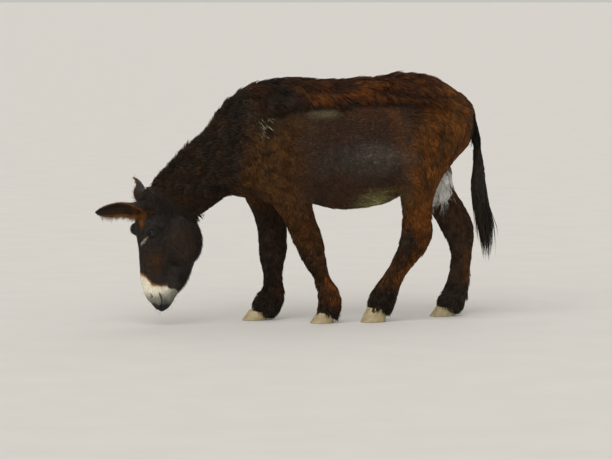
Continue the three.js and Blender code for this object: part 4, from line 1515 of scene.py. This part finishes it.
def draw_together(line, roots, leader, herd, pull, rng):
    """Bends the tufts of a lock towards their leader, most at the tips, unless it is far away."""
    joints = line.shape[1] - 1
    apart = np.linalg.norm(roots - roots[leader], axis=1)
    pull = pull * rng.uniform(0.5, 1.1, len(line)) * ease(1.6 * herd, 0.9 * herd, apart)
    share = (np.linspace(0, 1, joints + 1) ** 1.3)[None, :] * pull[:, None]
    aim = line[leader] + ((roots - roots[leader]) * 0.3)[:, None, :]
    return line + (aim - line) * np.clip(share, 0, 1)[:, :, None]


def blade_faces(joints):
    """The corners and face sizes of one tuft: rings of three points, then its tip."""
    corners, sizes = [0, 2, 1], [3]
    pairs = ((0, 1), (1, 2), (2, 0))
    for r in range(0, 3 * (joints - 1), 3):
        for a, b in pairs:
            corners += [r + a, r + b, r + 3 + b, r + 3 + a]
            sizes.append(4)
    last, tip = 3 * (joints - 1), 3 * joints
    for a, b in pairs:
        corners += [last + a, last + b, tip]
        sizes.append(3)
    return np.array(corners), np.array(sizes)


LASHES = 46  # to each upper lid
WHISKER_SPACING = 25.0
PATCH = 0.003  # a tuft's size in the map of the hide
RIDGE = 0.34  # a blade's thickness, as a share of its width
ROOT_TO_TIP = (0.62, 1.26)  # how bright a blade is at its two ends


def blades(name, line, normals, widths, colours, seats, rng, material):
    """One mesh of closed three-sided blades along their centre lines, coloured from root to tip."""
    count, joints = len(line), line.shape[1] - 1
    along = unit(np.gradient(line, axis=1))
    side = unit(np.cross(normals[:, None, :], along))
    up = np.cross(along, side)
    roll = rng.normal(0, 0.45, count)[:, None, None]
    side, up = side * np.cos(roll) + up * np.sin(roll), up * np.cos(roll) - side * np.sin(roll)
    share = np.arange(joints) / joints
    profile = (0.62 + 0.38 * np.minimum(1, share * 2.6)) * (1 - 0.75 * share**2.0)
    half = (widths[:, None] * profile)[:, :, None] / 2
    rings = np.empty((count, joints, 3, 3))
    middle, s, u = line[:, :joints], side[:, :joints], up[:, :joints]
    rings[:, :, 0] = middle - s * half - u * half * RIDGE * 0.5
    rings[:, :, 1] = middle + s * half - u * half * RIDGE * 0.5
    rings[:, :, 2] = middle + u * half * RIDGE * 1.5
    points = np.concatenate([rings.reshape(count, joints * 3, 3), line[:, joints:]], axis=1)
    per = joints * 3 + 1
    corners, sizes = blade_faces(joints)
    offsets = (np.arange(count) * per)[:, None]
    mesh = new_mesh(name, points.reshape(-1, 3), (offsets + corners).ravel(), np.tile(sizes, count))
    down_blade = np.concatenate([np.repeat(share, 3), [1.0]])
    over_blade = np.concatenate([np.tile([-0.5, 0.5, 0.0], joints), [0.0]])
    shade = mix(*ROOT_TO_TIP, down_blade)[None, :, None]
    paint_points(mesh, np.clip(colours[:, None, :] * shade, 0, 1).reshape(-1, 3))
    patch = np.stack([over_blade, down_blade - 0.5], axis=1) * PATCH
    bake = np.clip(seats[:, None, :] + patch, 0.0005, 0.9995)[:, corners]
    mesh.uv_layers.new(name="OFBake").uv.foreach_set("vector", bake.astype(np.float32).ravel())
    own = np.stack([over_blade + 0.5, down_blade * 4], axis=1)[None] + rng.random((count, 1, 2)) * 50
    mesh.uv_layers.new(name="strand").uv.foreach_set("vector", own[:, corners].astype(np.float32).ravel())
    mesh.uv_layers["OFBake"].active_render = True
    mesh.materials.append(material)
    return add_piece(name, mesh)


def add_piece(name, mesh):
    """Puts a mesh in the scene as a piece that rides on the animal's one body."""
    piece = bpy.data.objects.new(name, mesh)
    bpy.context.scene.collection.objects.link(piece)
    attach(piece, "root")
    return piece


# ---- materials


def add_node(tree, kind, feeds=None, **settings):
    """Adds one node. Settings are its own properties or its inputs' values, by name.

    Feeds are what its inputs get, by name or number: a node's first output, a socket, or a value.
    """
    node = tree.nodes.new("ShaderNode" + kind)
    for name, value in settings.items():
        if hasattr(node, name):
            setattr(node, name, value)
        else:
            node.inputs[name.replace("_", " ")].default_value = value
    for name, feed in (feeds or {}).items():
        if isinstance(feed, bpy.types.Node):
            feed = feed.outputs[0]
        if isinstance(feed, bpy.types.NodeSocket):
            tree.links.new(feed, node.inputs[name])
        else:
            node.inputs[name].default_value = feed
    return node


def new_material(name):
    """An empty material and its tree."""
    material = bpy.data.materials.new(name)
    material.use_nodes = True
    material.node_tree.nodes.clear()
    return material, material.node_tree


def lumps(*sizes):
    """The scale of a pattern whose lumps have these sizes in mm, in the object's metres."""
    scale = tuple(1 / (size * MM) for size in sizes)
    return scale if len(scale) > 1 else scale[0]


def shaded(tree, colour, pattern, low, high):
    """A colour made darker and lighter by a pattern, between two factors."""
    levels = dict(From_Min=0.3, From_Max=0.7, To_Min=low, To_Max=high)
    tone = add_node(tree, "MapRange", {"Value": pattern}, **levels)
    return add_node(tree, "VectorMath", {0: colour, 1: tone}, operation="MULTIPLY")


def finish_material(tree, colour, height=None, strength=0.4, depth=0.8, **settings):
    """Adds bump of a depth in mm, the surface with constants on its own sockets, and the output."""
    feeds = {"Base Color": colour}
    if height is not None:
        feeds["Normal"] = add_node(tree, "Bump", {"Height": height}, Strength=strength, Distance=depth * MM)
    surface = add_node(tree, "BsdfPrincipled", feeds, **settings)
    add_node(tree, "OutputMaterial", {"Surface": surface})


STREAKS_ACROSS = 7.0  # to a blade about 5 mm wide: 0.7 mm each, ten times the thickness of a guard hair


def hair_material(name, roughness, gloss=0.18):
    """Keratin fibres lying together: each blade shows as a bundle of hairs with a soft sheen along it.

    A guard hair is about 0.06 mm thick, too fine to show, so the streaks are drawn as coarse as they need.
    """
    material, tree = new_material(name)
    place = add_node(tree, "UVMap", uv_map="strand")
    stretch = add_node(tree, "Mapping", {"Vector": place}, Scale=(STREAKS_ACROSS, 0.5, 1.0))
    fibres = add_node(tree, "TexNoise", {"Vector": stretch}, Scale=1.0, Detail=1.0, Roughness=0.5)
    colour = shaded(tree, add_node(tree, "Attribute", attribute_name="coat"), fibres, 0.7, 1.3)
    # hair's index is 1.55; its many fibres spread the gloss
    optics = dict(Roughness=roughness, IOR=1.55, Specular_IOR_Level=gloss)
    finish_material(tree, colour, fibres, 0.35, 0.8, **optics)
    return material


def hide_material():
    """Skin under short dense hair, which makes it matt, with fine upright streaks and pores.

    The streaks stand for hair 0.06 mm thick, drawn 3 mm wide so that they show; the pores are 2.4 mm apart.
    """
    material, tree = new_material("skin under a winter coat")
    place = add_node(tree, "TexCoord").outputs["Object"]
    streaks = add_node(tree, "Mapping", {"Vector": place}, Scale=lumps(3.03, 3.03, 16.67))
    fur = add_node(tree, "TexNoise", {"Vector": streaks}, Scale=1.0, Detail=2.0, Roughness=0.6)
    pores = add_node(tree, "TexVoronoi", {"Vector": place}, Scale=lumps(2.381))
    colour = shaded(tree, add_node(tree, "Attribute", attribute_name="coat"), fur, 0.55, 1.1)
    height = add_node(tree, "Math", {0: fur, 1: pores}, operation="ADD")
    # skin's index is about 1.4; hair over it is dull
    finish_material(tree, colour, height, 0.4, 0.6, Roughness=0.62, IOR=1.4, Specular_IOR_Level=0.25)
    return material


def eye_material(colours, radius):
    """A wet cornea over a dark brown iris with a pupil that lies lengthwise, as a donkey's does.

    The map is in radii of the ball, as seen from in front; the fibres of the iris are 0.9 mm wide.
    """
    material, tree = new_material("moist eye, dark brown iris")
    place = add_node(tree, "UVMap", uv_map="face")
    oval = add_node(tree, "Mapping", {"Vector": place}, Scale=(2.3, 5.2, 1.0))
    pupil = add_node(tree, "VectorMath", {0: oval}, operation="LENGTH").outputs["Value"]
    ring = add_node(tree, "VectorMath", {0: place}, operation="LENGTH").outputs["Value"]
    fibres = add_node(tree, "TexNoise", {"Vector": place}, Scale=radius / 0.886, Detail=3.0)
    brown = shaded(tree, colours.iris, fibres, 0.5, 1.5)
    around = add_node(tree, "MapRange", {"Value": pupil}, From_Min=0.9, From_Max=1.1)
    black = (*linear("#07060a"), 1)
    iris = add_node(tree, "Mix", {0: around, 6: black, 7: brown}, data_type="RGBA").outputs[2]
    beyond_iris = add_node(tree, "MapRange", {"Value": ring}, From_Min=0.74, From_Max=0.84)
    white = (*linear("#2a1e18"), 1)  # what shows of a donkey's eye white is stained brown
    ball = add_node(tree, "Mix", {0: beyond_iris, 6: iris, 7: white}, data_type="RGBA").outputs[2]
    # the cornea's index is 1.376; tears make it mirror-smooth
    tears = dict(Coat_Weight=1.0, Coat_Roughness=0.03, Coat_IOR=1.376)
    finish_material(tree, ball, Roughness=0.4, IOR=1.376, Specular_IOR_Level=0.1, **tears)
    return material


RING_SPACING = 12.08
WAVE_PERIOD = 2 * math.pi / 20  # of the wave pattern at scale 1


def horn_material(colours):
    """Worn hoof horn: faint growth rings 12 mm apart and upright tubules, dull with dried soil.

    Tubules are 0.2 mm wide, drawn 1.4 mm wide so that they show; the stains are 26 mm across.
    """
    material, tree = new_material("worn hoof horn")
    place = add_node(tree, "TexCoord").outputs["Object"]
    upright = add_node(tree, "Mapping", {"Vector": place}, Scale=lumps(1.429, 1.429, 33.33))
    tubules = add_node(tree, "TexNoise", {"Vector": upright}, Scale=1.0, Detail=2.0)
    stains = add_node(tree, "TexNoise", {"Vector": place}, Scale=lumps(26.32), Detail=3.0)
    bands = dict(bands_direction="Z", Scale=WAVE_PERIOD * lumps(RING_SPACING), Distortion=2.0, Detail=2.0)
    rings = add_node(tree, "TexWave", {"Vector": place}, **bands).outputs["Fac"]
    stained = add_node(tree, "Math", {0: rings, 1: 0.12, 2: stains}, operation="MULTIPLY_ADD")
    share = add_node(tree, "MapRange", {"Value": stained}, From_Min=0.3, From_Max=0.95)
    dark, pale = (*colours.horn_dark, 1), (*colours.horn, 1)
    colour = add_node(tree, "Mix", {0: share, 6: dark, 7: pale}, data_type="RGBA").outputs[2]
    height = add_node(tree, "Math", {0: rings, 1: 0.3, 2: tubules}, operation="MULTIPLY_ADD")
    finish_material(tree, colour, height, Roughness=0.6, IOR=1.54)
    return material


def floor_material(colours):
    """Matt pale studio floor, faintly mottled in patches 0.33 m across so that it reads as a surface."""
    material, tree = new_material("matt pale studio floor")
    place = add_node(tree, "TexCoord").outputs["Object"]
    mottle = add_node(tree, "TexNoise", {"Vector": place}, Scale=lumps(333.3), Detail=4.0)
    finish_material(tree, shaded(tree, colours.floor, mottle, 0.96, 1.0), Roughness=0.9, IOR=1.45)
    return material


# ---- operators

made = {}  # the hide's faces and sampled field, kept from the hide's operator for the coat's


def tones_of(colours):
    """The colours as arrays, by name."""
    names = "red_back brown rust slate black bark straw white inner_white tan lip grey tail".split()
    return {name: np.array(getattr(colours, name)) for name in names}


FLOOR_HALF = 6000.0  # metres, so that it reaches the horizon
FLOOR_GAP = 0.0006  # metres under the soles, so that the two surfaces don't flicker
LIGHT_SPREAD = math.radians(70)
LIGHTS_AIM = 0.7  # metres up
PICTURE_WIDE, PICTURE_HIGH = 612.0, 459.0  # pixels
FOCAL = 3200.0  # the lens, in those pixels
HORIZON = 1.6  # the picture's row at the camera's own height


class DONKEY_OT_stage(bpy.types.Operator):
    """Lay the floor, hang the lights and set up the camera"""

    bl_idname = "donkey.stage"
    bl_label = "Stage"

    def execute(self, context):
        settings = context.scene.donkey_stage
        mesh = bpy.data.meshes.new("floor")
        corners = [(x * FLOOR_HALF, y * FLOOR_HALF, 0) for x, y in ((-1, -1), (1, -1), (1, 1), (-1, 1))]
        mesh.from_pydata(corners, [], [(0, 1, 2, 3)])
        mesh.materials.append(floor_material(settings))
        floor = bpy.data.objects.new("floor", mesh)
        floor.location.z = -FLOOR_GAP
        context.scene.collection.objects.link(floor)
        self.world(context, settings)
        self.light(context, "key_light", (-3.4, -5.2, 5.4), settings.key)
        self.light(context, "fill_light", (4.2, 4.4, 4.0), settings.fill)
        self.camera(context, settings)
        return {"FINISHED"}

    def world(self, context, settings):
        world = bpy.data.worlds.new("studio")
        context.scene.world = world
        world.use_nodes = True
        back = world.node_tree.nodes["Background"]
        back.inputs["Color"].default_value = (*linear("#f2efea"), 1)
        back.inputs["Strength"].default_value = settings.sky
        context.scene.view_settings.view_transform = "Standard"

    def light(self, context, name, place, strength):
        data = bpy.data.lights.new(name, "SUN")
        data.angle = LIGHT_SPREAD
        data.energy = strength
        lamp = bpy.data.objects.new(name, data)
        lamp.location = place
        aim = Vector((0, 0, LIGHTS_AIM)) - Vector(place)
        lamp.rotation_euler = aim.to_track_quat("-Z", "Y").to_euler()
        context.scene.collection.objects.link(lamp)

    def camera(self, context, settings):
        data = bpy.data.cameras.new("camera")
        data.sensor_width = 36.0
        data.lens = FOCAL / PICTURE_WIDE * data.sensor_width
        data.clip_end = 2 * FLOOR_HALF
        camera = bpy.data.objects.new("camera", data)
        a = settings.azimuth
        away = Vector((math.sin(a), -math.cos(a), 0)) * settings.distance
        camera.location = Vector(in_metres(np.zeros(3))) + away + Vector((0, 0, settings.eye_height))
        pitch = math.atan((PICTURE_HIGH / 2 - HORIZON) / FOCAL)
        camera.rotation_euler = (math.pi / 2 - pitch, 0, a)
        context.scene.collection.objects.link(camera)
        context.scene.camera = camera


class DONKEY_OT_hide(bpy.types.Operator):
    """Build the hide that stands for all the flesh, with its markings"""

    bl_idname = "donkey.hide"
    bl_label = "Hide"

    def execute(self, context):
        mesh, grid = build_hide(context.scene.donkey_hide)
        piece = add_piece("hide", mesh)
        unwrap(piece)
        faces = HideFaces(mesh)
        tones = tones_of(context.scene.donkey_colours)
        paint_points(mesh, markings(faces.points, faces.normals, faces.places, tones))
        mesh.materials.append(hide_material())
        flesh_nodes = [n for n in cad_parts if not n.startswith(("eye_", "hoof_", "tail_switch"))]
        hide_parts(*flesh_nodes)
        made.update(faces=faces, grid=grid)
        return {"FINISHED"}


def coat_piece(context, name, kind, weight, material, slot, side=0):
    """One piece of the coat: tufts of one kind, where the weight is, on one side or both."""
    settings = context.scene.donkey_coat
    faces, grid, hair = made["faces"], made["grid"], HAIRS[kind]
    rng = np.random.default_rng([settings.seed, *name.encode()])
    if side:
        weight = weight * (faces.middles[:, 1] * side > 0)
    fullness = settings.fullness * 1.0
    spacing = hair.spacing / math.sqrt(fullness)
    roots, normals, seats, places = faces.scatter(spacing, weight, rng)
    count = len(roots)
    leader = herds(roots, spacing, hair.herd, rng)
    lock = rng.random((count, 3))[leader]
    flow = lie(roots, normals, places, settings.raggedness)
    angle = rng.normal(0, hair.stray, count) + (lock[:, 0] - 0.5) * hair.stray * 1.6
    flow = turned(flow, normals, angle * settings.raggedness)
    fur = size_of_fur(roots, places)
    lengths = hair.length * settings.length * fur
    lengths *= (1 + hair.vary * rng.uniform(-1, 1, count)) * mix(0.8, 1.2, lock[:, 1])
    heights = tip_heights(roots, normals, places) * hair.rise
    heights = heights * rng.uniform(0.3, 1.0, count) * mix(0.75, 1.0, lock[:, 2])
    line = grow(roots, normals, flow, hair, lengths, heights, grid)
    line = draw_together(line, roots, leader, hair.herd, hair.pull * settings.gathering, rng)
    if hair.wave:
        swing = np.sin(np.linspace(0, 2 * math.pi, line.shape[1])[None, :] + lock[:, :1] * 6.3)
        sideways = unit(np.cross(normals, flow))[:, None, :]
        line[:, 1:] += (sideways * (swing * hair.wave)[:, :, None])[:, 1:]
    tones = tones_of(context.scene.donkey_colours)
    colours = markings(roots, normals, places, tones)
    bright = mix(1 - hair.swing, 1 + hair.swing, lock[:, 2]) * rng.uniform(0.8, 1.2, count)
    colours = colours * bright[:, None]
    line[:, :, 2] = np.maximum(line[:, :, 2], LOWEST)
    widths = hair.width * np.clip(fur, 0.55, 1.1) * rng.uniform(0.65, 1.1, count)
    widths = widths / math.sqrt(fullness) ** 0.8
    piece = blades(name, line, normals, widths, colours, seats, rng, material)
    return piece


class DONKEY_OT_coat(bpy.types.Operator):
    """Grow the coat of the head, ears, neck, body and legs"""

    bl_idname = "donkey.coat"
    bl_label = "Coat"

    def execute(self, context):
        faces = made["faces"]
        zone = zones(faces.middles)
        on_ear = faces.ears[:, 2] > 0.5
        off_ears = ~on_ear
        dull = hair_material("winter guard hair, dry", 0.6, 0.1)
        sleek = hair_material("winter guard hair, sleek", 0.45, 0.34)
        dark = hair_material("short face hair", 0.5)
        rest = zone["body"]
        for other in ("tail", "back", "fore", "hind"):
            rest = rest * (1 - zone[other])
        front, rear = zone["shoulder"], zone["haunch"]
        bare = self.bare(faces)
        pieces = [
            ("coat_head", "head", zone["head"] * bare, dark, "dark_coat", 0),
            ("coat_neck", "neck", zone["neck"], dull, "dark_coat", 0),
            ("coat_shoulders", "shoulder", rest * front, dull, "coat", 0),
            ("coat_barrel_left", "barrel", rest * (1 - front) * (1 - rear), sleek, "coat", NEAR),
            ("coat_barrel_right", "barrel", rest * (1 - front) * (1 - rear), sleek, "coat", FAR),
            ("coat_back", "back", zone["back"], dull, "coat", 0),
            ("coat_haunch_left", "haunch", rest * rear, dull, "coat", NEAR),
            ("coat_haunch_right", "haunch", rest * rear, dull, "coat", FAR),
            ("coat_forelegs", "leg", zone["fore"], dull, "dark_coat", 0),
            ("coat_hindlegs", "leg", zone["hind"], dull, "dark_coat", 0),
            ("coat_dock", "tail", zone["tail"], dull, "tail_hair", 0),
        ]
        for name, kind, weight, material, slot, side in pieces:
            coat_piece(context, name, kind, weight * off_ears, material, slot, side)
        mane = off_ears * crest(faces.middles, faces.facing)
        coat_piece(context, "mane", "mane", mane, dull, "dark_coat")
        t, across, which = faces.ears.T
        coat_piece(context, "coat_ears", "ear", on_ear * 1.0, dark, "dark_coat")
        rim = on_ear * ease(0.6, 0.9, np.abs(across)) * np.where(across < 0, 1.0, 0.12) * (which > 1.0)
        rim = rim * ease(0.95, 0.75, t)  # one edge is fringed more than the other
        root = on_ear * ease(0.3, 0.1, t) * 0.7
        coat_piece(context, "ear_fringe", "fringe", np.maximum(rim, root), dark, "dark_coat")
        self.fine_hairs(context, faces, dark)
        return {"FINISHED"}

    def fine_hairs(self, context, faces, material):
        """Lashes along the upper lids, and whiskers on the lips and chin."""
        rng = np.random.default_rng([context.scene.donkey_coat.seed, 31])
        ball = context.scene.donkey_hide.eye_radius / MM + context.scene.donkey_hide.lid / MM
        roots, ways, lengths = [], [], []
        for side in (NEAR, FAR):
            looks, corner, upper = eye_axes(side)
            c = np.linspace(-0.95, 0.95, LASHES) * EYE_HALF_LENGTH + rng.normal(0, 0.4, LASHES)
            u = UPPER_LID_RISE * (1 - (c / EYE_HALF_LENGTH) ** 2) + 1.5
            out = np.sqrt(ball**2 - c**2 - u**2) - 1.0
            local = np.outer(out, looks) + np.outer(c, corner) + np.outer(u, upper)
            roots.append(out_of_head(on_side(EYE_AT, side) + local))
            heading = looks + 0.25 * upper + np.outer(c / 40, corner) + rng.normal(0, 0.12, (LASHES, 3))
            ways.append(unit(heading) @ TURN.T)
            lengths.append(rng.uniform(11, 19, LASHES))
        p = into_head(faces.middles)
        lips = ease(185, 130, p[:, 2]) * (faces.ears[:, 2] < 0.5) * (beyond(THROAT, faces.middles) < 0)
        whiskers, normals, _, _ = faces.scatter(WHISKER_SPACING, lips, rng)
        roots.append(whiskers)
        ways.append(unit(normals + 0.5 * DOWN + rng.normal(0, 0.25, normals.shape)))
        lengths.append(rng.uniform(8, 24, len(whiskers)))
        roots, ways, lengths = np.vstack(roots), np.vstack(ways), np.concatenate(lengths)
        share = np.linspace(0, 1, 4)[None, :, None]
        line = roots[:, None, :] + (ways * lengths[:, None])[:, None, :] * share
        line[:, :, 2] -= 0.16 * lengths[:, None] * share[:, :, 0] ** 2
        nearest = [int(np.argmin(np.sum((faces.middles - root) ** 2, axis=1))) for root in roots]
        seats = faces.uv[faces.loops[nearest, 0]]
        tone = np.array(context.scene.donkey_colours.lip)
        colours = np.tile(tone * 0.7, (len(roots), 1))
        widths = np.where(np.arange(len(roots)) < 2 * LASHES, 1.1, 0.9)
        facing = ways[:, [1, 2, 0]]
        piece = blades("lashes_and_whiskers", line, facing, widths, colours, seats, rng, material)

    def bare(self, faces):
        """Where the head has hair: not on eyeballs or lids' rims, in nostrils or on the lips' edges."""
        p = into_head(faces.middles)
        free = np.ones(len(p))
        for side in (NEAR, FAR):
            _, corner, upper = eye_place(p, side)
            off = np.hypot(corner / 19, upper / np.where(upper > 0, 9, 8))
            near = distance(p, on_side(EYE_AT, side)) < DETAIL_REACH
            free = np.where(near, free * ease(0.95, 1.25, off), free)
            away = distance(p / NOSTRIL_TALL, on_side(NOSTRIL_AT, side) / NOSTRIL_TALL)
            free = free * ease(5, 11, away)
        mouth = (np.abs(from_mouth(p)) < 4) & (p[:, 2] < MOUTH_TOP)
        return np.where(mouth, 0.1, free)


TAIL_STRANDS = 2100
TAIL_JOINTS = 7
SWITCH_ROOTS = (760, 895)  # the heights between which its hairs start
SWITCH_TIPS = (272, 750)  # and end


class DONKEY_OT_tail(bpy.types.Operator):
    """Hang the locks of the tail's switch"""

    bl_idname = "donkey.tail"
    bl_label = "Tail"

    def execute(self, context):
        settings = context.scene.donkey_coat
        rng = np.random.default_rng([settings.seed, 99])
        count = int(TAIL_STRANDS * settings.fullness * (1.0))
        top = rng.uniform(*SWITCH_ROOTS, count) * np.where(rng.random(count) < 0.75, 1, 0.9)
        end = mix(*SWITCH_TIPS, rng.random(count) ** 0.6)
        end = np.minimum(end, top - 120)
        share = np.linspace(0, 1, TAIL_JOINTS + 1)[None, :]
        z = mix(top[:, None], end[:, None], share)
        switch = refine(SWITCH, 6)[::-1]
        x, deep, half = [np.interp(z, switch[:, 1], switch[:, i]) for i in (0, 2, 3)]
        turn = rng.uniform(0, 2 * math.pi, count)[:, None]
        out = (rng.random(count) ** 0.5)[:, None] * mix(0.5, 1.0, ease(0, 0.3, share)) * 0.93
        out = out * mix(0.85, 1.0, ease(300, 600, z))
        turn = turn + 0.35 * np.sin(share * 5 + rng.uniform(0, 6.3, count)[:, None])
        line = np.stack([x + np.cos(turn) * deep * out, np.sin(turn) * half * out, z], axis=-1)
        line[:, :, :2] += rng.normal(0, 1.2, (count, TAIL_JOINTS + 1, 2))
        splay = rng.normal(0, 9.0, (count, 1, 2)) * (share**2)[:, :, None]
        line[:, :, :2] += splay * ease(640, 420, z)[:, :, None]
        normals = unit(np.stack([np.cos(turn[:, 0]), np.sin(turn[:, 0]), 0 * turn[:, 0]], axis=1))
        tone = np.array(context.scene.donkey_colours.tail)
        warm = np.array(context.scene.donkey_colours.bark)
        colours = mix(tone, warm, (rng.random(count) ** 3 * 0.6)[:, None])
        colours = colours * rng.uniform(0.7, 1.35, count)[:, None]
        widths = rng.uniform(4.0, 8.0, count)
        seats = made["faces"].scatter(3.0, zones(made["faces"].middles)["tail"], rng)[2]
        seats = seats[rng.integers(0, len(seats), count)]
        material = hair_material("coarse tail hair", 0.4)
        piece = blades("tail_hair", line, normals, widths, colours, seats, rng, material)
        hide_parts("tail_switch")
        return {"FINISHED"}


CORNEA_BULGE = 0.05  # how far the cornea stands out, as a share of the ball's radius


class DONKEY_OT_eyes(bpy.types.Operator):
    """Set the eyeballs in their lids"""

    bl_idname = "donkey.eyes"
    bl_label = "Eyes"

    def execute(self, context):
        radius = context.scene.donkey_hide.eye_radius / MM
        material = eye_material(context.scene.donkey_colours, radius)
        for name, side in (("eye_left", NEAR), ("eye_right", FAR)):
            looks, corner, upper = eye_axes(side)
            bm = bmesh.new()
            bmesh.ops.create_uvsphere(bm, u_segments=64, v_segments=40, radius=1.0)
            layer = bm.loops.layers.uv.new("face")
            axes = np.array([corner, upper, looks])
            if np.linalg.det(axes) < 0:
                axes[1] = -axes[1]
            for face in bm.faces:
                face.smooth = True
                for loop in face.loops:
                    at = loop.vert.co
                    spread = 1.0 if at.z > 0 else 3.0  # the back of the ball lies beyond the iris
                    loop[layer].uv = (at.x * spread, at.y * spread)
            for vert in bm.verts:
                at = np.array(vert.co)
                bulge = 1 + CORNEA_BULGE * ease(0.72, 0.95, at[2])
                local = on_side(EYE_AT, side) + (at * radius * bulge) @ axes
                vert.co = Vector(in_metres(out_of_head(local)))
            mesh = bpy.data.meshes.new(name + "_ball")
            bm.to_mesh(mesh)
            bm.free()
            mesh.materials.append(material)
            piece = add_piece(name + "_ball", mesh)
            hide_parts(name)
        return {"FINISHED"}


HOOF_SIDES = 56
# Heights of rings, as shares of the wall's, and how wide the hoof is there
HOOF_FOOT = [(0.0, 0.955), (0.012, 0.985), (0.04, 1.0)]
HOOF_TOP = [(0.93, 1.012), (0.98, 1.0), (1.0, 0.95)]


class DONKEY_OT_hooves(bpy.types.Operator):
    """Shape the four hooves"""

    bl_idname = "donkey.hooves"
    bl_label = "Hooves"

    def execute(self, context):
        material = horn_material(context.scene.donkey_colours)
        for name, hoof in HOOVES.items():
            points, faces = self.shape(**hoof)
            mesh = bpy.data.meshes.new(name + "_wall")
            mesh.from_pydata([tuple(p) for p in in_metres(points)], [], faces)
            mesh.polygons.foreach_set("use_smooth", np.ones(len(faces), bool))
            mesh.materials.append(material)
            piece = add_piece(name + "_wall", mesh)
            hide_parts(name)
        return {"FINISHED"}

    def shape(self, side, y, toe, heel, front, back):
        """Points and faces of one hoof: a sole, a bevelled edge, ringed walls and a rounded coronet."""
        walls = [(t, 1.0) for t in np.linspace(0.1, 0.86, 13)]
        angle = np.linspace(0, 2 * math.pi, HOOF_SIDES, endpoint=False)
        share = (1 - np.cos(angle)) / 2
        waist = 1 - (1 - HEEL_WIDTH) * share**2
        points = []
        for t, swell in [*HOOF_FOOT, *walls, *HOOF_TOP]:
            x0, x1 = toe + HOOF_SLOPE * t, heel + HEEL_SLOPE * t
            wide = HOOF_HALF_WIDTH * (1 - (1 - CORONET_WIDTH) * t)
            ripple = 0.5 * math.sin(t * 40) * (0.1 < t < 0.9)
            wide = (wide + ripple) * swell
            middle, half = (x0 + x1) / 2, ((x1 - x0) / 2 + ripple) * swell
            chips = noise(np.stack([share * 60, angle * 20, 0 * angle + toe], axis=1), 7, 13)
            z = t * mix(front, back, share) + (0.8 * np.maximum(chips, 0) if 0 < t < 0.05 else 0)
            ring = [middle - half * np.cos(angle), side * y - np.sin(angle) * wide * waist, z]
            points.append(np.stack(ring, axis=1))
        points = np.vstack(points)
        return points, tube_faces(points, HOOF_SIDES)


class DONKEY_PT_panel(bpy.types.Panel):
    """The animal's operators and settings"""

    bl_label = "Grazing donkey"
    bl_idname = "DONKEY_PT_panel"
    bl_space_type = "VIEW_3D"
    bl_region_type = "UI"
    bl_category = "Donkey"

    def draw(self, context):
        for operator in OPERATORS:
            self.layout.operator(operator.bl_idname)
        for name, _ in SETTINGS:
            group = getattr(context.scene, name)
            box = self.layout.box()
            for field in group.bl_rna.properties.keys():
                if field not in ("rna_type", "name"):
                    box.prop(group, field)


OPERATORS = [
    DONKEY_OT_stage,
    DONKEY_OT_hide,
    DONKEY_OT_eyes,
    DONKEY_OT_hooves,
    DONKEY_OT_coat,
    DONKEY_OT_tail,
]
SETTINGS = [
    ("donkey_hide", HideSettings),
    ("donkey_coat", CoatSettings),
    ("donkey_colours", ColourSettings),
    ("donkey_stage", StageSettings),
]


def register():
    """Registers the settings, the operators and the panel."""
    for name, group in SETTINGS:
        bpy.utils.register_class(group)
        setattr(bpy.types.Scene, name, PointerProperty(type=group))
    for item in [*OPERATORS, DONKEY_PT_panel]:
        bpy.utils.register_class(item)


def unregister():
    """Takes them away again."""
    for item in [DONKEY_PT_panel, *reversed(OPERATORS)]:
        bpy.utils.unregister_class(item)
    for name, group in reversed(SETTINGS):
        delattr(bpy.types.Scene, name)
        bpy.utils.unregister_class(group)


def main():
    """Builds everything in order."""
    register()
    bpy.ops.donkey.stage()
    bpy.ops.donkey.hide()
    bpy.ops.donkey.eyes()
    bpy.ops.donkey.hooves()
    bpy.ops.donkey.coat()
    bpy.ops.donkey.tail()


if __name__ == "__main__":
    main()
